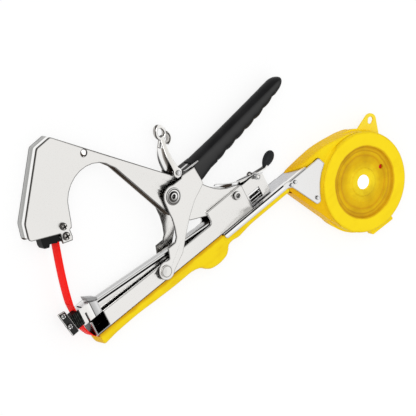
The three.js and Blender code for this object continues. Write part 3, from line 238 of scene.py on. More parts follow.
def mixed(share, first, second):
    """A mix of two colours or outputs."""
    made = node(share.id_data, "Mix", share, data_type="RGBA").node
    for socket, value in ((made.inputs[6], first), (made.inputs[7], second)):
        feed(socket, value if isinstance(value, bpy.types.NodeSocket) else opaque(value))
    return made.outputs[2]


def noise(spot, scale, detail=3, stretch=(1, 1, 1)):
    """Soft noise over the places on the tool."""
    tree = spot.id_data
    return node(tree, "TexNoise", node(tree, "Mapping", spot, Scale=stretch), Scale=scale, Detail=detail)


def shaded(colour, shade, reach, low, high):
    """Painted shade: a colour that goes over to the shade colour in gaps narrower than reach."""
    gaps = node(colour.id_data, "AmbientOcclusion", Distance=reach * mm, samples=gap_samples)
    return mixed(share_ramp(gaps.node.outputs["AO"], low, high), shade, colour)


def surface(name):
    """A new material, its shader, the place on the tool and the way the surface faces."""
    material = bpy.data.materials.new(name)
    material.use_nodes = True
    tree = material.node_tree
    where = node(tree, "TexCoord").node.outputs
    return material, tree.nodes["Principled BSDF"], where["Object"], where["Normal"]


def coat(skin, colour, rough, **others):
    """Gives a shader its colour, its roughness and the values of its other inputs."""
    feed(skin.inputs["Base Color"], colour)
    feed(skin.inputs["Roughness"], rough)
    for name, value in others.items():
        feed(skin.inputs[name.replace("_", " ")], value)


def raised(skin, height, strength, reach):
    """Fine relief on a surface."""
    bump = node(skin.id_data, "Bump", Strength=strength, Distance=reach * mm, Height=height)
    feed(skin.inputs["Normal"], bump)


def apart(vector):
    """The three numbers of a vector."""
    return node(vector.id_data, "SeparateXYZ", vector).node.outputs


def plated_sheet(name, half, wall, face=sheet_face, inner=sheet_inside_shade, paint=None, reach=3,
                 outline=0.0, inner_paint=None):
    """Plated sheet whose outer faces lie half a width from the middle of the tool. Wall is the
    painted reflection colour of its edges from the far side to the near one, outline the weight of
    its painted dark rim lines. Inner faces and narrow gaps take the inner colour as painted shade."""
    material, skin, spot, normal = surface(name)
    height = minus(apart(spot)[2], drawing_origin.z * mm)
    across = share_ramp(height, -half * mm, half * mm)
    flatness = share_ramp(maths("ABSOLUTE", apart(normal)[2]), 0.5, 0.8)
    outer = share_ramp(maths("ABSOLUTE", height), (half - 0.5) * mm, (half - 0.3) * mm)
    cloud = noise(spot, 14, 2)
    flat = mixed(times(cloud, 0.9), face, sheet_tone_and_shade)
    if paint:
        flat = paint(spot, flat)
    inside = inner_paint(spot, inner) if inner_paint else inner
    # Painted shade: faces inside the channel take the inner colour.
    flat = mixed(outer, inside, flat)
    colour = mixed(flatness, ramp(across, wall), flat)
    # Painted shade in narrow gaps.
    colour = shaded(colour, inside, reach, 0.16, 0.55)
    # Painted light: with inner_paint, the inner faces glow with their painted colour.
    if inner_paint:
        feed(skin.inputs["Emission Color"], inside)
        feed(skin.inputs["Emission Strength"], times(minus(1.0, outer), flatness))
    # Painted reflection: dark rim lines along the edges of the outer faces.
    if outline:
        rims = node(skin.id_data, "AmbientOcclusion", Distance=rim_reach * mm, samples=gap_samples,
                    inside=True, only_local=True)
        line = times(share_ramp(rims.node.outputs["AO"], 0.93, 0.78), outline, outer)
        colour = mixed(line, colour, sheet_line)
    streaks = noise(spot, 300, stretch=(1, 6, 1))
    coat(skin, colour, ramp(streaks, ((0.3, 0.16), (0.75, 0.3))), Metallic=1)
    raised(skin, cloud, 0.06, 0.4)
    return material


def edge_line(name, colour):
    """The sheared edge of a plated sheet, rounded over, in a painted dark reflection of the room
    with lighter flecks of painted glint.
    """
    material, skin, spot, _ = surface(name)
    lit = tuple(min(1, 2.2 * part + 0.02) for part in colour)
    coat(skin, mixed(share_ramp(noise(spot, 120), 0.5, 0.8), colour, lit), 0.3, Metallic=1)
    return material


def soften(made, width, steps, limit, rim=None):
    """Rounds the edges of a piece that turn by more than limit degrees."""
    bevel = made.modifiers.new("softened_edges", "BEVEL")
    bevel.width = width * mm
    bevel.segments = steps
    bevel.angle_limit = math.radians(limit)
    bevel.harden_normals = True
    if rim:
        made.data.materials.append(rim)
        bevel.material = 1


def dress(name, material, edge=0.15, rim=None, steps=2):
    """Gives a CAD piece its finish, softens its edges and smooths its round stretches."""
    made = nodes[name]
    made.data.materials.clear()
    made.data.materials.append(material)
    made.data.shade_smooth()
    weld = made.modifiers.new("weld", "WELD")
    weld.merge_threshold = weld_gap * mm
    soften(made, edge, steps, 25, rim)


grey_edge = edge_line("grey_edge", (0.33, 0.32, 0.31))
frame_sheet = plated_sheet("frame_sheet", frame_half, frame_wall, reach=1.5, outline=0.6)
dress("frame_channel", frame_sheet, 0.22, grey_edge)


# The tape guide: a trough of yellow plastic, moulded in one piece and held under the
# frame. The tape slides in it; a pocket hangs under its middle.
yellow_face = (0.92, 0.68, 0.006)
# Deep: the painted shade on sideways walls, and the stain colour. Amber: painted shade in gaps.
yellow_deep = (0.75, 0.45, 0.002)
yellow_amber = (0.56, 0.24, 0.0)
guide_half = 7.0
guide_rear_half = 6.5
guide_wall = 1.2
guide_corner = 3.2
guide_front = [
    (-76.2, -6.75, -76.2, -10.2), (-76.0, -6.75, -76.0, -13.4), (-75.4, -6.75, -75.4, -15.6),
    (-74.5, -6.75, -74.5, -16.7),
]
guide_low = [
    (-73.6, -17.0), (-68, -16.4), (-60, -15.7), (-38.6, -15.3), (-15, -16.4), (1.4, -17.1), (15, -17.1),
    (21.4, -17.2), (27, -18.3), (31.4, -20.2), (34.5, -23.4), (39.5, -26.3), (47.4, -27.3), (55.4, -25.9),
    (59.4, -22.6), (62.4, -19.9), (67.4, -19.3), (73.4, -20.2), (79.4, -19.5), (89.4, -18.5), (110, -18.4),
    (130.9, -18.4),
]
guide_top_front, guide_top_rear = (-78.5, -6.7), (94.5, -8.1)
guide_step = 59.6
guide_lap = 1.5
rear_top = -9.6
guide_end = 130.9


def smooth_path(points, steps):
    """A smooth line through the points, with so many steps between each two."""
    made = []
    for i in range(len(points) - 1):
        before, a, b, after = (points[min(max(k, 0), len(points) - 1)] for k in (i - 1, i, i + 1, i + 2))
        for k in range(steps):
            t = k / steps
            made.append(tuple(
                0.5 * (2 * q + (r - p) * t + (2 * p - 5 * q + 4 * r - s) * t * t
                       + (3 * q - p - 3 * r + s) * t ** 3)
                for p, q, r, s in zip(before, a, b, after)
            ))
    made.append(tuple(points[-1]))
    return made


def solid_mesh(name, points, faces):
    """A mesh of points and faces, its doubled points joined and its faces turned outwards."""
    mesh = bpy.data.meshes.new(name)
    mesh.from_pydata([tuple(p) for p in points], [], faces)
    shape = bmesh.new()
    shape.from_mesh(mesh)
    bmesh.ops.remove_doubles(shape, verts=shape.verts, dist=0.001 * mm)
    bmesh.ops.recalc_face_normals(shape, faces=shape.faces)
    shape.to_mesh(mesh)
    shape.free()
    return mesh


def build(name, points, faces, material, body, slot, sharp=35):
    """A new piece from its points and faces, smooth but for its sharp edges."""
    mesh = solid_mesh(name, points, faces)
    mesh.materials.append(material)
    mesh.shade_smooth()
    mesh.set_sharp_from_angle(angle=math.radians(sharp))
    made = bpy.data.objects.new(name, mesh)
    scene.collection.objects.link(made)
    if body:
        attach(made, body)
    return made


def loft(rings, closed=False):
    """Points and faces of a skin over rings of equal count, with flat ends unless closed on itself."""
    count = len(rings[0])
    points = [p for ring in rings for p in ring]
    faces = []
    for i in range(len(rings) if closed else len(rings) - 1):
        a, b = i * count, (i + 1) % len(rings) * count
        for k in range(count):
            n = (k + 1) % count
            faces.append((a + k, a + n, b + n, b + k))
    if not closed:
        faces.append(tuple(range(count)))
        faces.append(tuple(range(len(points) - count, len(points))))
    return points, faces


def arc(x, y, radius, angles):
    """Places round a centre, at angles in degrees."""
    turns = [math.radians(angle) for angle in angles]
    return [(x + radius * math.cos(angle), y + radius * math.sin(angle)) for angle in turns]


def trough_section(top, low, half):
    """A U of even wall from its top edge down to low, with rounded bottom corners."""
    top, low = Vector(top), Vector(low)
    down = low - top
    depth = down.length
    down.normalize()
    ring = []
    for side_half, floor, corner, order in (
        (half, depth, guide_corner, 1),
        (half - guide_wall, max(0.05, depth - guide_wall), guide_corner - guide_wall, -1),
    ):
        bend = min(corner, 0.8 * floor)
        edge = [(-side_half, 0.0), (-side_half, 0.5 * (floor - bend))]
        edge += arc(bend - side_half, floor - bend, bend, range(180, 89, -18))
        edge += [(-z, d) for z, d in reversed(edge)]
        ring += edge[::order]
    return [at(*(top + down * d), z) for z, d in ring]


def yellow_moulding(name, face=yellow_face, deep=yellow_deep, paint=None, reach=9, stain=0.8,
                    shade=yellow_amber):
    """Stained yellow plastic. Walls that face sideways take the deep colour as painted shade, and
    gaps go over to the shade colour as painted shade where light can't reach.
    """
    material, skin, spot, normal = surface(name)
    # Painted shade: walls that face sideways are deeper.
    colour = mixed(share_ramp(maths("ABSOLUTE", apart(normal)[2]), 0.1, 0.9), deep, face)
    if paint:
        colour = paint(spot, colour)
    cloud = share_ramp(noise(spot, 55, 4, (1, 1.6, 1)), 0.45, 0.75)
    flow = noise(spot, 260, 5, (0.25, 1, 1))
    colour = mixed(times(cloud, stain, share_ramp(flow, 0.3, 0.7)), colour, yellow_deep)
    colour = shaded(colour, shade, reach, 0.15, 0.6)
    rough = ramp(flow, ((0.2, 0.38), (0.8, 0.55)))
    coat(skin, colour, rough, Specular_IOR_Level=0.12)
    raised(skin, noise(spot, 700), 0.05, 0.15)
    return material


def along_line(spot, start, end):
    """Signed distance in millimetres from a line on the drawing, positive to its left."""
    place = apart(spot)
    first, last = at(*start), at(*end)
    run = (last - first).normalized()
    across = times(minus(place[1], first.y), run.x)
    back = times(minus(place[0], first.x), run.y)
    return times(minus(across, back), 1000)


def strayed(value, grain, reach):
    """A value that strays either way as the grain does."""
    return maths("ADD", value, times(minus(grain, 0.5), reach))


def guide_paint(spot, colour):
    """Painted shade: amber along the top of the trough, in the shadow under the frame."""
    drop = strayed(along_line(spot, guide_top_front, guide_top_rear), noise(spot, 60, 4), 5)
    return mixed(times(share_ramp(drop, -3.2, -1.0), 0.75), colour, yellow_amber)


def guide_top(x):
    """The height of the trough's top edge."""
    (front, high), (rear, low) = guide_top_front, guide_top_rear
    return high + (low - high) * (x - front) / (rear - front)


low_line = smooth_path(guide_low, 6)
front_rings = [trough_section(row[:2], row[2:], guide_half) for row in smooth_path(guide_front, 3)]
main_rings = [trough_section((x, guide_top(x)), (x, y), guide_half) for x, y in low_line if x < guide_step]
rear_rings = [trough_section((x, rear_top), (x, y), guide_rear_half)
              for x, y in low_line if guide_step - guide_lap < x <= guide_end]
guide_yellow = yellow_moulding("guide_yellow", paint=guide_paint)
trough = build("guide_trough", *loft(front_rings + main_rings), guide_yellow, "frame", "yellow_plastic")
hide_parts("tape_guide")
build("guide_tail", *loft(rear_rings), guide_yellow, "frame", "yellow_plastic")


# The tail channel: plated sheet folded over the rear of the guide, ending in two
# triangular cheeks that hold the case's neck. Rivets go through the cheeks.
tail_half = 8.0
web_half = 7.9
tail_web = (0.55, 0.55, 0.565)
tail_face = (0.87, 0.87, 0.885)
# Painted reflections: a dark line at the far side and a bright band at the near edge, grey web between.
tail_wall = ((0.0, sheet_line), (0.08, tail_web), (0.8, tail_web), (0.88, sheet_white), (1.0, sheet_white))
web_end = [(131, -9.5), (152, -9.5), (152, -8.5), (131, -8.5)]
tail_rivets = {"tail_rivet_1": (134, -12.9), "tail_rivet_2": (138, -12.9), "tail_rivet_3": (149.5, -36.5)}
# Painted reflection rings on the small rivet heads.
small_rivet = ((0.0, 0.8), (0.5, 0.85), (0.8, 0.5), (1.0, 0.3))


def tail_paint(spot, colour):
    """Painted reflection: a dark line where the flange mirrors the frame's lower edge."""
    place = apart(spot)
    stripes = ramp(share_ramp(place[1], at(0, -12.5).y, at(0, -8.5).y), (
        (0.0, tail_face), (0.1, (0.6, 0.6, 0.61)), (0.2, sheet_white), (0.74, sheet_black)), "CONSTANT")
    return mixed(share_ramp(place[0], at(127.5, 0).x, at(126.5, 0).x), colour, stripes)


def prism(outline, low, high):
    """Points and faces of a flat outline between two heights."""
    return loft([[at(x, y, z) for x, y in outline] for z in (low, high)])


def axis_distance(spot, centre):
    """Distance in metres from an upright axis."""
    tree = spot.id_data
    flat = node(tree, "VectorMath", spot, (1, 1, 0), operation="MULTIPLY")
    gap = node(tree, "VectorMath", flat, (centre.x, centre.y, 0), operation="DISTANCE")
    return gap.node.outputs["Value"]


def ringed_metal(name, centre, rows, widest, turn=0.6, depth=0.45, cross=0.0):
    """A turned or headed piece: bright and dark rings of painted reflection, a painted soft sheen
    that darkens one side, painted shade in gaps, and any cross recess painted black as shade.
    """
    material, skin, spot, _ = surface(name)
    place = apart(spot)
    off_x, off_y = minus(place[0], centre.x), minus(place[1], centre.y)
    radius = axis_distance(spot, centre)
    rings = ramp(share_ramp(radius, 0, widest * mm), rows)
    sheen = maths("COSINE", maths("ADD", maths("ARCTAN2", off_y, off_x), turn))
    colour = mixed(times(share_ramp(sheen, 0.2, -0.9), depth), rings, sheet_line)
    colour = shaded(colour, sheet_black, 1.2, 0.2, 0.6)
    if cross:
        nearer = maths("MINIMUM", maths("ABSOLUTE", off_x), maths("ABSOLUTE", off_y))
        groove = share_ramp(nearer, 0.75 * mm, 0.55 * mm)
        groove = times(groove, share_ramp(radius, (cross + 0.2) * mm, cross * mm))
        colour = mixed(groove, colour, sheet_black)
    coat(skin, colour, 0.18, Metallic=1)
    raised(skin, noise(spot, 400), 0.03, 0.1)
    return material


tail_sheet = plated_sheet("tail_sheet", tail_half, tail_wall, tail_face, paint=tail_paint, reach=2,
                          outline=0.45)
pale_edge = edge_line("pale_edge", (0.7, 0.69, 0.67))
dress("tail_channel", tail_sheet, 0.3, pale_edge)
build("tail_web_end", *prism(web_end, -web_half, web_half), tail_sheet, "frame", "plated_sheet")
for name, place in tail_rivets.items():
    dress(name, ringed_metal(name + "_metal", at(*place), small_rivet, 1.6, 0.6, 0.25), 0.12)


# The tape case: two shells of translucent yellow plastic on one hub. The back one is
# moulded with the neck, the hanging ear and the tab; the lid has a round dish.
hub = (192.5, -52.0)
case_shade = (0.82, 0.52, 0.004)
ring_yellow = (0.965, 0.72, 0.008)
ring_deep = (0.88, 0.6, 0.004)
neck_face = (0.93, 0.69, 0.006)
dish_amber = (0.66, 0.33, 0.002)
dish_line = (0.42, 0.2, 0.002)
dish_gold = (0.76, 0.47, 0.003)
boss_yellow = (0.93, 0.70, 0.015)
# The darker rows at the dish's steps and at the rim's rounding are painted shade.
dish_rows = (
    (0.0, boss_yellow), (0.19, boss_yellow), (0.28, (0.9, 0.66, 0.012)), (0.36, (0.84, 0.57, 0.006)),
    (0.44, dish_gold), (0.5, (0.72, 0.43, 0.003)), (0.53, dish_amber), (0.56, dish_gold), (0.6, dish_gold),
    (0.625, (0.6, 0.31, 0.002)), (0.65, (0.72, 0.42, 0.003)), (0.69, (0.6, 0.3, 0.002)),
    (0.72, (0.74, 0.44, 0.004)), (0.745, ring_yellow), (0.955, ring_yellow), (0.985, (0.85, 0.6, 0.005)),
    (1.0, (0.83, 0.57, 0.005)),
)
turn_steps = 128
drum_radius = 40
lid_profile = [
    (40, 0.15), (40, 8.3), (39.87, 8.95), (39.5, 9.5), (38.95, 9.87), (38.3, 10), (33, 10), (29.9, 9.97),
    (28.9, 9.8), (28.3, 9.4), (28.1, 8.8), (28, 8.35), (27.7, 8.05), (27.2, 7.98), (25.9, 7.98), (25.4, 7.9),
    (25.1, 7.65), (24.8, 7.38), (24.3, 7.3), (22.5, 7.3), (22.2, 7.5), (21.9, 7.58), (21.6, 7.5), (21.3, 7.3),
    (16.6, 7.25), (16.4, 7.4), (16.2, 7.42), (16, 7.25), (12.6, 7.3), (11.8, 7.45), (11.3, 7.9), (11.05, 8.5),
    (10.7, 8.88), (10.1, 9), (7.1, 9), (6.3, 8.85), (5.9, 8.4), (5.8, 7.8), (5.8, 5.8), (29.6, 5.8),
    (29.6, 8.5), (38.5, 8.5), (38.5, 0.15),
]
back_profile = [
    (40.9, 0.08), (41.2, -0.2), (41.2, -0.8), (40.9, -1.05), (40, -1.1), (40, -8.3), (39.87, -8.95),
    (39.5, -9.5), (38.95, -9.87), (38.3, -10), (31.2, -10), (30.8, -9.5), (29.4, -9.5), (29, -10),
    (20.3, -10), (20, -9.7), (19.4, -9.7), (19.1, -10), (13.2, -10), (12.8, -9.4), (11.2, -9.4),
    (10.8, -10), (7, -10), (6.3, -9.85), (5.9, -9.4), (5.8, -8.8), (5.8, 5.5), (7.3, 5.5), (7.3, -8.5),
    (10.5, -8.5), (10.5, 5.5), (12, 5.5), (12, -8.5), (38.5, -8.5), (38.5, 0.08),
]
sleeve_profile = [(5.75, -9.6), (5.75, 7.4), (5.6, 7.6), (5.2, 7.6), (5.05, 7.4), (5.05, -9.6)]
tape_passage = [(125, -10.6), (184.5, -16), (180.5, -52), (164, -55), (140, -23.5), (125, -17.2)]
passage_half = 5.8
peep_hole = (hub[0] + 20.4, hub[1] + 0.4, 1.9)
neck_front, neck_top, neck_depth = 131.3, -9.6, 8.8
neck_from, neck_turn, neck_spread = 100, 107, 60
neck_flat, neck_round = 6.45, 2.2
shoulder_rise, shoulder_reach = 2.9, 3.2


def circle(x, y, radius, steps):
    return arc(x, y, radius, [360 * i / steps for i in range(steps)])


def round_hub(radius, degrees):
    return Vector(arc(*hub, radius, [degrees])[0])


def turned(profile, centre, steps):
    """Points and faces of a closed profile of (radius, height) turned round an upright axis."""
    spokes = circle(0, 0, 1, steps)
    return loft([[at(centre[0] + r * x, centre[1] + r * y, z) for r, z in profile] for x, y in spokes], True)


def cut_away(made, points, faces, sharp=35):
    """Takes a shape out of a piece."""
    cutter = bpy.data.objects.new("cutter", solid_mesh("cutter", points, faces))
    scene.collection.objects.link(cutter)
    step = made.modifiers.new("cut", "BOOLEAN")
    step.operation = "DIFFERENCE"
    step.solver = "EXACT"
    step.object = cutter
    result = bpy.data.meshes.new_from_object(made.evaluated_get(bpy.context.evaluated_depsgraph_get()))
    made.modifiers.clear()
    made.data = result
    bpy.data.objects.remove(cutter)
    result.shade_smooth()
    result.set_sharp_from_angle(angle=math.radians(sharp))


def case_plastic(name, face, deep, reach, stain, paint=None):
    return yellow_moulding(name, face, deep, paint, reach, stain, case_shade)


def dish_paint(spot, colour):
    """The lid by its radius: clear yellow ring, amber dish with faint rings, pale boss. The
    faint darker rings at the dish's steps and at the rim's rounding are painted shade.
    """
    level = (1, 1, 0)  # the same noise at every height
    radius = strayed(axis_distance(spot, at(*hub)), noise(spot, 90, 5, level), 2.2 * mm)
    share = share_ramp(radius, 0, drum_radius * mm)
    rings = ramp(share, dish_rows)
    blotches = share_ramp(noise(spot, 70, 5, level), 0.42, 0.68)
    rings = mixed(times(blotches, share_ramp(share, 0.74, 0.7), 0.45), rings, dish_line)
    return mixed(share_ramp(apart(spot)[2], 13.5 * mm, 15.5 * mm), colour, rings)


lid_yellow = case_plastic("lid_yellow", ring_yellow, ring_deep, 1.2, 0.35, dish_paint)
lid = build("case_lid_shell", *turned(lid_profile, hub, turn_steps), lid_yellow, "case_lid", "yellow_plastic")
cut_away(lid, *prism(tape_passage, -passage_half, passage_half))
cut_away(lid, *prism(circle(*peep_hole, 24), 4, 11))
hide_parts("case_lid")


def neck_half(s, v):
    """A place on the neck's side and its height there: flat, rounded at the edges, rising to the drum."""
    back = round_hub(drum_radius + 0.06, neck_from + neck_turn * v)
    place = Vector((neck_front, neck_top - neck_depth * v)).lerp(back, s)
    rise = shoulder_rise * max(0, 1 - (back - place).length / shoulder_reach) ** 2
    edge = min(v, 1 - v) * (neck_depth + s * neck_spread)
    return place, neck_flat + rise - neck_round * max(0, 1 - edge / neck_round) ** 2


def neck_shape():
    """The neck from the tail to the drum, its ends closed by strips between the two sides."""
    rows, columns = 22, 26
    rings = []
    for i in range(rows + 1):
        share = 1 - (1 - i / rows) ** 1.6
        side = [neck_half(share, 0.5 - 0.5 * math.cos(math.pi * k / columns)) for k in range(columns + 1)]
        near, far = ([at(*place, way * half) for place, half in side] for way in (1, -1))
        rings.append(near + far[::-1])
    points, faces = loft(rings)
    last = 2 * columns + 1
    strips = [(start + k, start + k + 1, start + last - k - 1, start + last - k)
              for start in (0, len(points) - last - 1) for k in range(columns)]
    return points, faces[:-2] + strips


def neck_paint(spot, colour):
    """Painted shade: amber towards the tail, going over to clear yellow by the drum."""
    return mixed(share_ramp(apart(spot)[0], at(138, 0).x, at(172, 0).x), (0.80, 0.42, 0.0), colour)


neck_yellow = case_plastic("neck_yellow", neck_face, (0.86, 0.58, 0.004), 1, 0.6, neck_paint)
back_yellow = case_plastic("back_yellow", ring_yellow, ring_deep, 1, 0.4)
back = build("case_back_shell", *turned(back_profile, hub, turn_steps), back_yellow, "frame",
             "yellow_plastic")
cut_away(back, *prism(tape_passage, -passage_half, passage_half))
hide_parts("case_back")
neck = build("case_neck", *neck_shape(), neck_yellow, "frame", "yellow_plastic", 50)
cut_away(neck, *prism(tape_passage, -passage_half, passage_half), 50)

tongue_rows = [
    (140.6, -8.3, -8.7, 7.3, -6.4), (141.4, -8.0, -8.8, 7.7, -5.2), (143.4, -7.3, -9.0, 7.9, -3.0),
    (147.0, -6.6, -9.4, 8.0, 0.8), (151.5, -6.2, -9.8, 8.1, 4.8), (158, -5.9, -9.9, 8.3, 6.4),
    (166.4, -5.8, -9.9, 8.7, 6.4), (168.8, -5.9, -16.5, 8.9, 6.4), (172, -6.1, -17.6, 9.1, 6.4),
    (178, -6.8, -14.2, 9.4, 6.4), (185, -8.0, -12.4, 9.7, 6.4), (192, -9.5, -11.75, 9.8, 6.4),
    (199, -11.4, -12.3, 9.9, 6.4), (206, -13.9, -14.1, 9.9, 6.4), (209, -15.3, -15.35, 9.9, 6.4),
]


def tongue_section(x, top, low, far, near):
    """A cap with a crowned top and rounded shoulders."""
    bend = max(0.01, min(neck_round, 0.45 * (far + near) / 2, 0.9 * (top - low)))
    shoulder = top - bend - 0.02
    ring = arc(bend - far, shoulder, bend, range(180, 89, -15))
    ring.append(((near - far) / 2, top + 0.08))
    ring += arc(near - bend, shoulder, bend, range(90, -1, -15))
    ring += [(near, low), (-far, low)]
    return [at(x, y, z) for z, y in ring]


tongue_yellow = case_plastic("tongue_yellow", neck_face, (0.86, 0.55, 0.003), 1, 0.9, neck_paint)
tongue_rings = [tongue_section(*row) for row in smooth_path(tongue_rows, 4)]
build("neck_tongue", *loft(tongue_rings), tongue_yellow, "frame", "yellow_plastic", 50)

ear_centre = round_hub(48.4, 44.5)
ear_root, ear_round, ear_hole = 40.1, 5.5, 2.9
ear_low, ear_high = -2.0, 0.1
tab_root = 40.2
tab_low, tab_high = -2.8, 3.4


def ear_shape():
    """A tapering ear with a hole, as a strip of faces round the hole."""
    outline = arc(*hub, ear_root, range(28, 61, 4)) + arc(*ear_centre, ear_round, range(114, -27, -10))
    rings = []
    for place in outline:
        hole = ear_centre + ear_hole * (Vector(place) - ear_centre).normalized()
        rings.append([at(*place, ear_low), at(*place, ear_high), at(*hole, ear_high), at(*hole, ear_low)])
    return loft(rings, True)


def nylon(name):
    """Plain white nylon, with a painted glow for the light it lets through."""
    material, skin, spot, _ = surface(name)
    cloud = mixed(noise(spot, 300), (0.97, 0.97, 0.965), (0.9, 0.9, 0.89))
    # Painted light: a faint emission glow.
    coat(skin, cloud, 0.5, Emission_Color=plain_light, Emission_Strength=0.35)
    return material


ear_yellow = case_plastic("ear_yellow", (0.96, 0.76, 0.05), (0.9, 0.66, 0.02), 0.4, 0.5)
ear = build("hanging_ear", *ear_shape(), ear_yellow, "frame", "yellow_plastic")
tab_outline = arc(*hub, tab_root, range(254, 287, 4))
tab_outline += [(204.4, -96.2), (203.6, -97.2), (182.4, -96.6), (181.6, -95.8)]
tab = build("case_tab", *prism(tab_outline, tab_low, tab_high), back_yellow, "frame", "yellow_plastic")
for moulded in (ear, tab):
    soften(moulded, 0.4, 3, 40)
build("eye_sleeve", *turned(sleeve_profile, hub, 64), nylon("white_nylon"), "frame", "yellow_plastic")


# The tape roll: thin red tape wound tight on a paper core, loose on the case's spigot.
# The layers show as fine rings on its flat sides.
red_face = (0.955, 0.012, 0.008)
red_deep = (0.5, 0.006, 0.006)
core_card = (0.55, 0.42, 0.26)
layer_pitch = 0.5
core_radius = 14.0
roll_profile = [(33.9, -5.5), (34, -5.3), (34, 5.3), (33.9, 5.5), (14.1, 5.5), (14, 5.4), (13.9, 5.5),
                (12.4, 5.5), (12.3, 5.4), (12.3, -5.4), (12.4, -5.5), (13.9, -5.5), (14, -5.4), (14.1, -5.5)]


def wound_tape(name):
    material, skin, spot, _ = surface(name)
    radius = axis_distance(spot, at(*hub))
    layers = maths("SINE", times(radius, 2 * math.pi / (layer_pitch * mm)))
    colour = mixed(share_ramp(layers, -1, 1), red_deep, red_face)
    card = share_ramp(radius, core_radius * mm, (core_radius - 0.05) * mm)
    coat(skin, mixed(card, colour, core_card), 0.4)
    raised(skin, layers, 0.2, 0.1)
    return material


wound_red = wound_tape("wound_red")
wound = build("wound_roll", *turned(roll_profile, hub, turn_steps), wound_red, "tape_roll", "red_tape")
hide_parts("tape_roll")


# The jaw arm: one pressed sheet folded over its top edge, two sides joined by a web.
# Its head carries the clamp, the anvil, the cutter and two cross-recess screws.
arm_half = 5.3
# Painted shade for the arm's inner faces.
arm_inside_shade = (0.03, 0.023, 0.018)
# Painted reflections: dark, grey and bright bands across the arm's edges.
arm_wall = (
    (0.0, sheet_line), (0.07, sheet_line), (0.09, 0.55), (0.14, sheet_grey), (0.5, (0.36, 0.36, 0.35)),
    (0.55, sheet_white), (0.8, sheet_white), (0.86, (0.03, 0.028, 0.025)), (1.0, (0.05, 0.045, 0.04)),
)
arm_hole = (-9.6, 121.0)
# Painted reflection rings on the head screws.
screw_rows = ((0.0, (0.7, 0.68, 0.63)), (0.72, (0.8, 0.78, 0.73)), (0.8, 0.05), (1.0, sheet_black))
head_screws = {"head_screw_1": (-61, 86.6, 3.0), "head_screw_2": (-62.6, 78.6, 3.4)}
clamp_outline = [
    (-83.0, 90.2), (-67.6, 83.4), (-67.2, 77.4), (-72.0, 78.4), (-77.8, 81.4), (-79.6, 79.4), (-83.8, 81.2),
    (-84.2, 84.0),
]
clamp_half = 3.9


def arm_paint(spot, colour):
    """Painted shade: a soft dark sweep across the head."""
    shade = share_ramp(along_line(spot, (-52, 80), (-92, 96)), 0, -40)
    return mixed(times(shade, 0.35), colour, sheet_tone_and_shade)


def hole_view(spot, colour):
    """Painted light: a bright glowing disc on the inner faces round the hole near the arm's top,
    for the far side's lit inner face seen through it.
    """
    seen = share_ramp(axis_distance(spot, at(*arm_hole)), 3.4 * mm, 2.9 * mm)
    return mixed(seen, colour, sheet_white)


def ground_metal(name):
    """Bare ground steel with fine marks along it, and painted shade in gaps."""
    material, skin, spot, _ = surface(name)
    colour = mixed(noise(spot, 500, 4, (1, 0.15, 1)), (0.27, 0.27, 0.264), (0.45, 0.45, 0.44))
    coat(skin, shaded(colour, sheet_black, 2, 0.15, 0.6), 0.35, Metallic=1)
    return material


def facing_share(normal, way):
    """How far a surface faces one way, from -1 to 1."""
    return node(normal.id_data, "VectorMath", normal, way, operation="DOT_PRODUCT").node.outputs["Value"]


def black_moulding(name, colour, grain, rough, level, gleam=None):
    """Black plastic or rubber; gleam is the way its one painted soft highlight faces."""
    material, skin, spot, normal = surface(name)
    worn = tuple(1.7 * part + 0.003 for part in colour)
    shown = mixed(share_ramp(noise(spot, 60), 0.4, 0.8), colour, worn)
    # Painted highlight on faces turned towards gleam.
    if gleam:
        shown = mixed(share_ramp(facing_share(normal, gleam), 0.86, 1.0), shown, 0.045)
    coat(skin, shown, rough, Specular_IOR_Level=level)
    raised(skin, noise(spot, grain), 0.12, 0.12)
    return material


arm_sheet = plated_sheet("arm_sheet", arm_half, arm_wall, inner=arm_inside_shade, paint=arm_paint, reach=1.5,
                         outline=0.95, inner_paint=hole_view)
dark_edge = edge_line("dark_edge", (0.07, 0.067, 0.062))
dress("jaw_arm", arm_sheet, 0.3, dark_edge)
for name, (x, y, radius) in head_screws.items():
    metal = ringed_metal(name + "_metal", at(x, y), screw_rows, radius, 0.6, 0.85, 0.7 * radius)
    dress(name, metal, 0.15, dark_edge)
ground_steel = ground_metal("ground_steel")
dress("anvil", ground_steel, 0.1)
dress("cutter_blade", ground_steel, 0.05)
clamp_black = black_moulding("clamp_black", (0.005, 0.005, 0.005), 900, 0.3, 0.08)
clamp = build(
    "tape_clamp_bar", *prism(clamp_outline, -clamp_half, clamp_half), clamp_black, "jaw", "black_plastic", 30,
)
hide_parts("tape_clamp")
soften(clamp, 0.35, 3, 25)


# The handle: two plated cut-out plates over the tang, on two pivot studs at the frame
# and a hollow drive pin with turned heads that runs in the arm's slot.
plate_half = 8.7
# Painted shade: the plates' edges are black.
plate_wall = ((0.0, sheet_black), (0.9, sheet_black), (0.93, 0.02), (1.0, 0.02))
# Painted shade across the far plate's inner face.
far_rows = ((0.0, (0.035, 0.027, 0.02)), (0.35, (0.1, 0.08, 0.065)), (0.7, (0.45, 0.43, 0.4)),
            (1.0, sheet_face))
pivot_face = (0.8, 0.79, 0.765)
# Painted reflection rings on the pivot studs.
pivot_rows = ((0.0, pivot_face), (0.78, pivot_face), (0.84, sheet_line), (0.9, (0.5, 0.49, 0.47)),
              (1.0, sheet_face))
drive_pin = (35.3, 47)
ring_dark = (0.05, 0.045, 0.04)
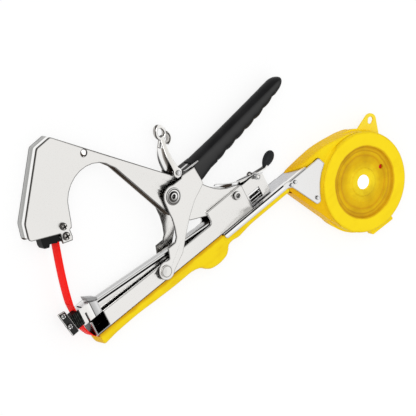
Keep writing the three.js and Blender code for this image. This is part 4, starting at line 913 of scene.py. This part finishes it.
# Painted reflection and shade rings on the drive pin's heads.
pin_rows = (
    (0.0, sheet_black), (0.2, sheet_black), (0.25, sheet_white), (0.36, sheet_white), (0.42, sheet_grey),
    (0.45, sheet_black), (0.6, sheet_black), (0.64, sheet_white), (0.74, (0.8, 0.79, 0.77)),
    (0.79, ring_dark), (0.87, ring_dark), (0.9, 0.75), (0.94, (0.8, 0.79, 0.77)), (1.0, 0.08),
)
pin_profile = [
    (7.0, 9.0), (7.0, 9.2), (6.8, 9.45), (6.4, 9.5), (4.9, 9.42), (4.5, 9.2), (4.25, 9.2), (4.05, 9.5),
    (3.8, 9.85), (3.4, 10.0), (2.6, 10.0), (2.1, 9.85), (1.75, 9.4), (1.6, 8.8), (1.6, 7.0),
    (0.2, 7.0), (0.2, 0.0), (2.5, 0.0), (2.5, 9.0),
]


def far_metal(name):
    """Painted shade: the far plate's inner face lies in the shade of the tool, brown at its edge;
    its walls are painted dark.
    """
    material, skin, spot, normal = surface(name)
    facing = apart(normal)[2]
    shade = ramp(share_ramp(along_line(spot, (2, 0), (26, 47)), 7, -7), far_rows)
    colour = mixed(share_ramp(facing, -0.3, -0.7), shade, sheet_face)
    colour = mixed(share_ramp(maths("ABSOLUTE", facing), 0.6, 0.4), colour, sheet_line)
    coat(skin, colour, 0.25, Metallic=1)
    return material


dress("handle_plate_near", plated_sheet("plate_sheet", plate_half, plate_wall, outline=0.5), 0.2, grey_edge)
dress("handle_plate_far", far_metal("far_plate_sheet"), 0.2, dark_edge)
for name in ("handle_pivot_stud_1", "handle_pivot_stud_2"):
    dress(name, ringed_metal(name + "_metal", at(0, 0), pivot_rows, 5.0, 0.6, 0.15), 0.35, grey_edge, 3)
pin_metal = ringed_metal("drive_pin_metal", at(*drive_pin), pin_rows, 7.0, -0.8, 0.75)
for name, side in (("drive_pin_near", 1), ("drive_pin_far", -1)):
    shape = turned([(r, side * z) for r, z in pin_profile], drive_pin, 64)
    build(name, *shape, pin_metal, "handle", "plated_fastener", 30)
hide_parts("drive_pin")


# The tang: a folded channel between the plates that carries the grip. The thumb hook
# is a forked, pressed lever on a pin through its ears.
tang_half = 6.9
tang_inner = 5.7
# Painted reflections: dark and bright bands across the tang's edges.
tang_wall = ((0.0, sheet_line), (0.12, sheet_black), (0.4, sheet_black), (0.5, sheet_white),
             (0.6, sheet_black), (0.88, sheet_black), (0.95, sheet_white), (1.0, sheet_white))
hook_pin = (48.5, 60.3)
tang_outline = [(54.5, 57.3), (58, 56.7), (70, 56.5), (70, 46.6), (51.5, 46.3)]
core_outline = [(66, 55.4), (149.8, 62.0), (149.8, 58.6), (68, 48.5)]
core_half = 4.2
tang_eye, pin_bore = 3.8, 1.5
hook_rise = 33.3
leg_rows = [
    (0, 0.0, 4.2, 8.4), (0, 0.06, 5.4, 8.4), (-0.3, 0.24, 4.6, 8.2), (0.1, 0.45, 4.2, 6.7),
    (1.9, 0.66, 3.8, 4.4), (4.0, 0.825, 3.6, 2.2), (5.2, 0.9, 3.6, 1.9),
]
leg_places = [(hook_pin[0] + x, hook_pin[1] + up * hook_rise, wide, out) for x, up, wide, out in leg_rows]
leg_thick = 1.2
leg_round = 0.45
eye_profile = [(3.7, 7.3), (3.9, 7.5), (3.9, 8.2), (3.7, 8.4), (1.8, 8.4), (1.65, 8.2), (1.65, 7.4),
               (1.8, 7.2)]
ring_centre = (54.3, 93.6)
ring_wide, ring_tall, ring_half = 5.2, 6.8, 2.2
tab_centre = (54.3, 88.0)
tab_section = ((6.5, -2.6), (6.5, 2.6), (6.3, 3.0), (5.7, 3.0), (5.4, 2.6), (5.4, -2.6), (5.7, -3.0),
               (6.3, -3.0))
# Painted reflection bands for the hook and the latch.
banded = (
    (0.0, (0.3, 0.29, 0.27)), (0.12, sheet_white), (0.3, (0.75, 0.73, 0.69)), (0.42, sheet_white),
    (0.55, (0.3, 0.28, 0.26)), (0.66, sheet_black), (0.78, (0.1, 0.095, 0.09)), (0.88, (0.6, 0.58, 0.55)),
    (1.0, (0.2, 0.19, 0.18)),
)
# Painted reflection and shade across the hook's web.
web_rows = ((0.0, sheet_black), (0.16, 0.15), (0.24, sheet_white), (0.52, sheet_white),
            (0.62, (0.3, 0.27, 0.24)), (0.8, (0.04, 0.03, 0.022)), (1.0, sheet_black))


def tang_paint(spot, colour):
    """Painted reflections: dark and bright stripes that the tang mirrors from the grip and the plates."""
    return ramp(share_ramp(apart(spot)[1], at(0, 50).y, at(0, 58).y), (
        (0.0, sheet_white), (0.5, sheet_black), (0.72, sheet_white), (0.83, sheet_black)), "CONSTANT")


def block(low_x, low_y, high_x, high_y, half):
    """Points and faces of a box on the drawing, half its width to each side of the middle."""
    return prism([(low_x, low_y), (high_x, low_y), (high_x, high_y), (low_x, high_y)], -half, half)


def mirrored_chrome(name, stops, rough=0.15):
    """Round bright metal: light and dark bands of painted reflection that follow the way the surface
    turns, and painted shade in gaps.
    """
    material, skin, spot, normal = surface(name)
    along = strayed(facing_share(normal, (-0.70, 0.42, -0.58)), noise(spot, 160), 0.2)
    colour = ramp(share_ramp(along, -1, 1), stops)
    coat(skin, shaded(colour, sheet_black, 2, 0.12, 0.5), rough, Metallic=1)
    return material


def web_metal(name):
    """The hook's web from side to side, in painted reflection and shade: a dark edge, a bright band
    and brown shade by the near leg.
    """
    material, skin, spot, _ = surface(name)
    coat(skin, ramp(share_ramp(apart(spot)[2], 3 * mm, 17 * mm), web_rows), 0.15, Metallic=1)
    return material


def strap_section(x, y, wide, out, side):
    """A pressed strap's section, with rounded edges."""
    ring = []
    for cx, cz, start in ((1, 1, 0), (-1, 1, 90), (-1, -1, 180), (1, -1, 270)):
        corner_x = x + cx * (wide / 2 - leg_round)
        corner_z = out - leg_thick / 2 + cz * (leg_thick / 2 - leg_round)
        ring += arc(corner_x, corner_z, leg_round, range(start, start + 91, 30))
    return [at(px, y, side * pz) for px, pz in ring]


def hook_ring():
    """The finger ring: a flattened hoop, taller than wide."""
    section = []
    for across, high in circle(0, 0, 1, 12):
        section.append((0.76 + 0.24 * across, ring_half * math.copysign(abs(high) ** 0.7, high)))
    x, y = ring_centre
    return loft([[at(x + ring_wide * grow * cx, y + ring_tall * grow * cy, z) for grow, z in section]
                 for cx, cy in circle(0, 0, 1, 48)], True)


def hook_tab():
    """The curled rest for the thumb below the ring."""
    spokes = arc(0, 0, 1, [-80 + 115 * i / 16 for i in range(17)])
    x, y = tab_centre
    return loft([[at(x + r * cx, y + r * cy, z) for r, z in tab_section] for cx, cy in spokes])


def hook_web():
    """The sheet that joins the two legs along their front edges."""
    rings = []
    for x, y, wide, out in smooth_path(leg_places[1:5], 5):
        front, edge = x - wide / 2, out - 0.3
        rings.append([at(front + dx, y, z) for dx, z in ((0, -edge), (0, edge), (1, edge), (1, -edge))])
    return loft(rings)


tang_sheet = plated_sheet("tang_sheet", tang_half, tang_wall, paint=tang_paint, reach=1, outline=0.6)
tang_outline = arc(*hook_pin, tang_eye, range(185, 59, -12)) + tang_outline
tang = build(
    "tang_channel", *prism(tang_outline, -tang_half, tang_half), tang_sheet, "handle", "plated_sheet", 30,
)
for room in (block(40, 40, 75, 55.3, tang_inner), block(40, 56.6, 75, 70, tang_inner),
             prism(circle(*hook_pin, pin_bore, 32), -8, 8)):
    cut_away(tang, *room, 30)
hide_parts("handle_tang")
build("tang_core", *prism(core_outline, -core_half, core_half), tang_sheet, "handle", "plated_sheet", 30)

hook_chrome = mirrored_chrome("hook_chrome", banded)
for side, name in ((1, "near"), (-1, "far")):
    rings = [strap_section(*row, side) for row in smooth_path(leg_places, 6)]
    build(f"thumb_hook_{name}_leg", *loft(rings), hook_chrome, "thumb_hook", "plated_sheet", 50)
    eye = turned([(r, side * z) for r, z in eye_profile], hook_pin, 40)
    build(f"thumb_hook_{name}_eye", *eye, hook_chrome, "thumb_hook", "plated_sheet", 50)
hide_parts("thumb_hook")
build("thumb_hook_web", *hook_web(), web_metal("web_chrome"), "thumb_hook", "plated_sheet", 50)
build("thumb_hook_ring", *hook_ring(), hook_chrome, "thumb_hook", "plated_sheet", 50)
build("thumb_hook_tab", *hook_tab(), hook_chrome, "thumb_hook", "plated_sheet", 50)
dress("hook_pin", ringed_metal("hook_pin_metal", at(*hook_pin), small_rivet, 2.2))


# The grip: a satin black sleeve of moulded rubber pushed over the tang, with finger
# grooves along its underside and a rounded tip.
grip_start = 64.6
grip_length = 106.5
grip_half = 7.9
grip_top = 57.6
grip_rise = 10.4
grip_depth = 18.8
grip_under = [
    (0, 0), (0.05, 0.06), (0.13, 0.17), (0.22, 0.2), (0.5, 0.44), (0.68, 0.6), (0.84, 0.83), (0.95, 1.02),
    (1, 1.12),
]
groove_pitch = 11.5
groove_depth = 1.3
groove_from, groove_to = 0.2, 0.88
tip_share = 0.09


def between(table, x):
    """The value at x of a table of (x, value) rows."""
    for (x0, y0), (x1, y1) in zip(table, table[1:]):
        if x <= x1:
            return y0 + (y1 - y0) * max(0, (x - x0) / (x1 - x0))
    return table[-1][1]


def grip_ring(share):
    """One section of the grip, a rounded oblong that grows rounder towards the tip."""
    top = grip_top + grip_rise * share
    groove = 0
    if groove_from < share < groove_to:
        along = (share - groove_from) * grip_length / groove_pitch
        groove = groove_depth * (1 - abs(math.sin(math.pi * along)) ** 0.8)
    low = grip_top - grip_depth + grip_depth * between(grip_under, share) + groove
    tip = max(0, (share - 1 + tip_share) / tip_share)
    shrink = math.sqrt(1 - 0.97 * tip * tip)
    middle = (top + low) / 2 - tip * tip
    tall, wide = (top - low) / 2 * shrink, grip_half * (1 - 0.1 * share) * shrink
    square = 0.6 + 0.3 * min(1, share / 0.3)
    ring = []
    for across, up in circle(0, 0, 1, 36):
        across = math.copysign(abs(across) ** square, across)
        up = math.copysign(abs(up) ** square, up)
        ring.append(at(grip_start + share * grip_length, middle + tall * up, wide * across))
    return ring


grip_black = black_moulding("grip_black", (0.006, 0.006, 0.0065), 1200, 0.35, 0.07, (0.05, 0.25, 0.967))
stations = [i / 150 for i in range(141)] + [1 - tip_share * 0.7 * (1 - k / 12) ** 2 for k in range(1, 13)]
grip = build("grip_sleeve", *loft([grip_ring(s) for s in stations]), grip_black, "handle", "black_rubber", 60)
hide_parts("grip")


# The magazine: a long box of thin plated sheet on the jaw hinge, with its nose block,
# the raised cover, the staples and their pusher, rod, spring and catch.
magazine_front, magazine_rear = (-64.2, 17.2), (70.0, 4.6)
box_half = 3.7
nose_half = 5.4
# Painted reflections: bands across the magazine's edges.
magazine_wall = ((0.0, sheet_line), (0.1, sheet_white), (0.18, 0.5), (0.7, 0.62),
                 (0.8, sheet_white), (1.0, sheet_line))
# Painted shade and highlight rows under the magazine's top edge.
magazine_rows = (
    (0.0, (0.72, 0.71, 0.69)), (0.42, (0.8, 0.79, 0.77)), (0.5, sheet_white), (0.57, sheet_black),
    (0.8, sheet_black), (0.84, sheet_white), (1.0, sheet_grey),
)
# Painted reflections: bands across the nose's edges.
nose_wall = ((0.0, sheet_line), (0.08, sheet_white), (0.6, 0.55), (1.0, sheet_white))
# The seam is the nose's own dark line; the grey rows behind it are painted shade.
nose_rows = (
    (0.0, sheet_face), (0.36, sheet_white), (0.385, sheet_line), (0.42, sheet_line), (0.45, 0.42),
    (0.7, 0.58), (0.85, 0.75), (1.0, 0.5),
)
cover_outline = [(-70.9, 21.4), (-64.3, 17.9), (-62.0, 17.5), (-62.0, 19.2), (-65.6, 21.6), (-70.9, 24.9)]
catch_rows = (
    (0.0, sheet_white), (0.14, sheet_black), (0.34, sheet_white), (0.4, sheet_black), (0.51, sheet_white),
    (0.55, sheet_black), (0.66, sheet_white), (0.88, sheet_black),
)


def magazine_paint(spot, colour):
    """Painted shade and highlight: a dark groove under the folded top edge, with the bright lip
    beside it.
    """
    stripes = ramp(share_ramp(along_line(spot, magazine_front, magazine_rear), -6, 0), magazine_rows)
    return mixed(share_ramp(apart(spot)[0], at(72, 0).x, at(68, 0).x), colour, stripes)


def nose_paint(spot, colour):
    """White ahead of the seam, a thin dark seam, and painted grey shade behind it."""
    return ramp(share_ramp(apart(spot)[0], at(-76, 0).x, at(-64, 0).x), nose_rows)


def cover_metal(name):
    """Grey plated cover: its front edge mirrors the red tape, as a painted reflection."""
    material, skin, spot, _ = surface(name)
    place = apart(spot)
    front = share_ramp(place[0], at(-70.2, 0).x, at(-71.0, 0).x)
    low = share_ramp(place[1], at(0, 22.6).y, at(0, 21.6).y)
    grey = mixed(noise(spot, 200), 0.22, 0.4)
    red = times(maths("MINIMUM", front, low), share_ramp(noise(spot, 420), 0.45, 0.6))
    coat(skin, mixed(red, grey, (0.05, 0.004, 0.004)), 0.3, Metallic=1)
    return material


def catch_metal(name):
    """Bright bars and dark gaps, as the catch shows them in the loading window; the gaps are
    painted shade.
    """
    material, skin, spot, _ = surface(name)
    height = strayed(apart(spot)[1], noise(spot, 300), 0.5 * mm)
    bars = ramp(share_ramp(height, at(0, -6).y, at(0, 4).y), catch_rows, "CONSTANT")
    coat(skin, bars, 0.3, Metallic=1)
    return material


box_sheet = plated_sheet("magazine_sheet", box_half, magazine_wall, paint=magazine_paint, reach=1.8)
dress("magazine_body", box_sheet, rim=grey_edge)
nose_sheet = plated_sheet("nose_block", nose_half, nose_wall, paint=nose_paint, reach=0.4)
dress("magazine_nose", nose_sheet, 0.25, grey_edge)
cover = build("nose_cover_plate", *prism(cover_outline, -box_half, box_half), cover_metal("cover_metal"),
              "magazine", "bare_steel", 20)
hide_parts("nose_cover")
soften(cover, 0.25, 2, 20)
for name in ("driver_blade", "staple_strip", "staple_pusher", "pusher_rod"):
    dress(name, ground_steel, 0.06)
dress("magazine_catch", catch_metal("catch_metal"), 0.1, dark_edge)


# The latch lever behind the magazine: bent bright steel on a cross pin, with a black
# teardrop knob moulded on its end. The jaw's hinge rivet sits just ahead of it.
jaw_hinge = (87.1, 10.4)
# Painted reflection and shade rings on the hinge rivet.
rivet_rows = ((0.0, sheet_white), (0.26, sheet_white), (0.34, sheet_grey), (0.42, sheet_black),
              (0.58, 0.2), (0.66, sheet_face), (0.9, sheet_face), (1.0, 0.35))
knob_middle = Vector((129.5, 14.2, 0))
knob_lean = math.radians(28)
knob_half_length, knob_girth, knob_flatness = 7.4, 4.6, 0.92


def knob_shape():
    """A teardrop knob with a stem end, turned round its own leaning axis."""
    along = Vector((math.cos(knob_lean), math.sin(knob_lean), 0))
    up = Vector((-math.sin(knob_lean), math.cos(knob_lean), 0))
    rings = []
    for i in range(33):
        place = -math.cos(math.pi * i / 32)
        girth = knob_girth * math.sqrt(max(0.0012, 1 - place * place)) * (0.74 + 0.3 * (place + 1) / 2)
        middle = knob_middle + along * knob_half_length * place
        rings.append([at(*(middle + up * girth * cx + Vector((0, 0, girth * knob_flatness * cy))))
                      for cx, cy in circle(0, 0, 1, 32)])
    return loft(rings)


latch_steel = mirrored_chrome("latch_chrome", banded, 0.2)
dress("latch_lever", latch_steel, 0.2, dark_edge)
dress("latch_pin", latch_steel)
dress("hinge_rivet", ringed_metal("hinge_rivet_metal", at(*jaw_hinge), rivet_rows, 3.4, 0.0, 0.4), 0.25)
knob_black = black_moulding("knob_black", (0.016, 0.0165, 0.018), 900, 0.5, 0.1)
knob = build("latch_knob_moulding", *knob_shape(), knob_black, "latch_lever", "black_plastic", 60)
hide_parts("latch_knob")


# The tape gate: a ribbed black block that keeps the tape on the nose, held on the
# front by a bent dark-chrome bracket with two screws.
gate_front, gate_back, gate_wing = -93.4, -85.2, -82.7
gate_ribs = 6
gate_inner, wing_inner, gate_face, gate_crest = 0.4, 5.8, 6.3, 6.8
gate_low, gate_high = 9.4, 22.4
bracket_inner, bracket_outer = 5.4, 7.1
bracket_outline = [(-101.4, 30.4), (-94.4, 29.4), (-90.8, 7.8), (-97.6, 7.6)]
# Painted reflection bands, mostly dark, for the bracket.
dark_bands = (
    (0.0, (0.2, 0.19, 0.18)), (0.2, 0.03), (0.32, 0.02), (0.42, (0.5, 0.49, 0.46)),
    (0.5, sheet_black), (0.66, 0.02), (0.74, sheet_white), (0.8, 0.05), (1.0, sheet_black),
)
# Painted reflection rings on the bracket screws.
bracket_rows = ((0.0, 0.6), (0.3, 0.05), (0.5, sheet_white), (0.74, sheet_white),
                (0.84, sheet_black), (1.0, sheet_black))
bracket_screws = {"bracket_screw_1": (-98.2, 27.2), "bracket_screw_2": (-96.8, 16.5)}


def gate_shape():
    """A block with upright ribs on its near face and a thin wing beside the tape."""
    outline = []
    pitch = (gate_wing - gate_front) / gate_ribs
    for i in range(gate_ribs):
        for share, z in ((0.0, gate_face), (0.12, gate_crest), (0.62, gate_crest), (0.74, gate_face)):
            outline.append((gate_front + (i + share) * pitch, z))
    outline += [(gate_wing, gate_face), (gate_wing, wing_inner), (gate_back, wing_inner)]
    outline += [(gate_back, gate_inner), (gate_front, gate_inner)]
    return loft([[at(x, y, z) for x, z in outline] for y in (gate_low, gate_high)])


def gate_metal(name):
    """Black moulding with a painted highlight where its rib crests catch a little light."""
    material, skin, spot, _ = surface(name)
    crest = share_ramp(apart(spot)[2], 16.5 * mm, 16.75 * mm)
    colour = mixed(times(crest, share_ramp(noise(spot, 500), 0.4, 0.6)), 0.003, (0.03, 0.035, 0.03))
    coat(skin, colour, 0.35, Specular_IOR_Level=0.06)
    return material


gate = build("tape_gate_moulding", *gate_shape(), gate_metal("gate_black"), "magazine", "black_plastic", 20)
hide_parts("tape_gate")
bracket_chrome = mirrored_chrome("bracket_chrome", dark_bands)
bracket = build("bracket_plate", *prism(bracket_outline, bracket_inner, bracket_outer), bracket_chrome,
                "magazine", "plated_sheet", 20)
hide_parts("front_bracket")
soften(bracket, 0.35, 2, 25, pale_edge)
for name, place in bracket_screws.items():
    dress(name, ringed_metal(name + "_metal", at(*place), bracket_rows, 2.5, 1.2, 0.7), 0.2)


# The red tape: a thin plastic ribbon from the roll through the neck and the guide, up
# over the nose and on to the clamp in the head.
red_dark = (0.2, 0.004, 0.004)
tape_half = 5.5
tape_thick = 0.5
tape_section = ((-1, 0), (-0.97, 1), (-0.5, 1.1), (0, 1.15), (0.5, 1.1), (0.97, 1), (1, 0), (0.97, -1),
                (0.5, -0.9), (0, -0.85), (-0.5, -0.9), (-0.97, -1))
nose_place = Vector((-84.5, 27.9))
clamp_place = Vector((-71.8, 75.7))
feed_places = [
    (195, -17.4), (165, -16.2), (136, -15.2), (118, -14.6), (60, -13), (20, -12), (-60, -10.4), (-73, -8.9),
    (-79.0, -6.0), (-81.8, -1.5), (-84.0, 4), (-84.5, 9), (-84.5, 18), (-84.5, 27.6),
]


def tape_metal(name):
    """Thin glossy red plastic film."""
    material, skin, spot, _ = surface(name)
    colour = mixed(times(noise(spot, 60), 0.2), red_face, (0.8, 0.01, 0.006))
    # Painted shade: dark red in narrow gaps.
    coat(skin, shaded(colour, red_dark, 2, 0.1, 0.5), 0.42, Specular_IOR_Level=0.05)
    raised(skin, noise(spot, 300, 2, (1, 1, 0.2)), 0.05, 0.1)
    return material


def tape_shape(line):
    """A ribbon along a line on the drawing, with a slightly crowned face and thin edges."""
    rings = []
    for i, place in enumerate(line):
        run = (Vector(line[min(len(line) - 1, i + 1)]) - Vector(line[max(0, i - 1)])).normalized()
        off = Vector((-run.y, run.x)) * tape_thick / 2
        rings.append([at(*(Vector(place) + off * out), z * tape_half) for z, out in tape_section])
    return loft(rings)


def strip_place(t):
    """A place on the free run, which leans towards the clamp as it rises."""
    reach, rise = clamp_place - nose_place
    lean = 0.35 * (1 - math.cos(0.5 * math.pi * t)) + 0.65 * t
    return nose_place.x + reach * lean, nose_place.y + rise * t


tape_red = tape_metal("tape_red")
feed_run = build("tape_in_guide", *tape_shape(smooth_path(feed_places, 8)), tape_red, None, "red_tape", 60)
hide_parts("tape_feed")
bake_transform(feed_run)
strip = build(
    "tape_to_clamp", *tape_shape([strip_place(i / 30) for i in range(33)]), tape_red, None, "red_tape", 60,
)
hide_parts("tape_strip")
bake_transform(strip)


# The springs: the return spring is one bent wire round the latch pin with a leg over
# the arm's rear edge, and the pusher spring is wound round the pusher's rod.
# Painted reflection bands for the spring wire.
spring_bands = ((0.0, 0.1), (0.3, sheet_white), (0.5, 0.4), (0.62, sheet_black),
                (1.0, 0.3))
return_wire = 0.45
coil_centre = (110.4, 12)
coil_radius = 2.1
coil_turns, coil_pitch, coil_low = 3, 1.5, 4.45
leg_low, leg_high = (104, 15.6), (84, 23.6)
slant = Vector((0.995621, -0.093479))
push_wire, push_radius, push_turns = 0.35, 1.7, 12
push_front, push_rear = -6.0, 90.0
rod_drop = 5.2


def wire_shape(line, radius, sides=10):
    """A round wire along a line of places."""
    rings = []
    line = [Vector(p) for p in line]
    side = Vector((0, 0, 1))
    for i, place in enumerate(line):
        run = (line[min(len(line) - 1, i + 1)] - line[max(0, i - 1)]).normalized()
        side = (side - run * side.dot(run)).normalized()
        other = run.cross(side)
        rings.append([at(*(place + radius * (x * side + y * other))) for x, y in circle(0, 0, 1, sides)])
    return loft(rings)


def on_rod(x):
    """A place on the axis of the slanted rod."""
    (front, high), (rear, low) = magazine_front, magazine_rear
    return Vector((x, high - (x - front) * (high - low) / (rear - front) - rod_drop))


spring_steel = mirrored_chrome("spring_wire", spring_bands, 0.2)
coil_spots = arc(*coil_centre, coil_radius, [75 - 360 * i / 32 for i in range(32 * coil_turns + 1)])
coil = [(x, y, coil_low + coil_pitch * i / 32) for i, (x, y) in enumerate(coil_spots)]
end_x, end_y, end_z = coil[-1]
leg = smooth_path([
    (74.2, 28.6, 3.7), (76.5, 28.4, 4.7), (*leg_high, 4.7), (93, 19, 4.7), (*leg_low, 4.7), coil[0],
], 8)
tail = [(end_x + x, end_y + y, end_z) for x, y in ((1.0, -0.27), (2.0, -0.53), (3.0, -0.8), (4.2, -1.2))]
return_shape = wire_shape(leg[:-1] + coil + tail, return_wire)
return_spring = build("return_spring_wire", *return_shape, spring_steel, None, "spring_steel", 60)
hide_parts("return_spring")
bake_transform(return_spring)

push_line = []
for i, (x, y) in enumerate(circle(0, 0, push_radius, 24) * push_turns + [(push_radius, 0)]):
    middle = on_rod(push_front).lerp(on_rod(push_rear), i / (24 * push_turns))
    push_line.append((*(middle + Vector((-slant.y, slant.x)) * x), y))
push_shape = wire_shape(push_line, push_wire, 8)
push_spring = build("pusher_spring_wire", *push_shape, spring_steel, "magazine", "spring_steel", 60)
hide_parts("pusher_spring")
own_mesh(push_spring)
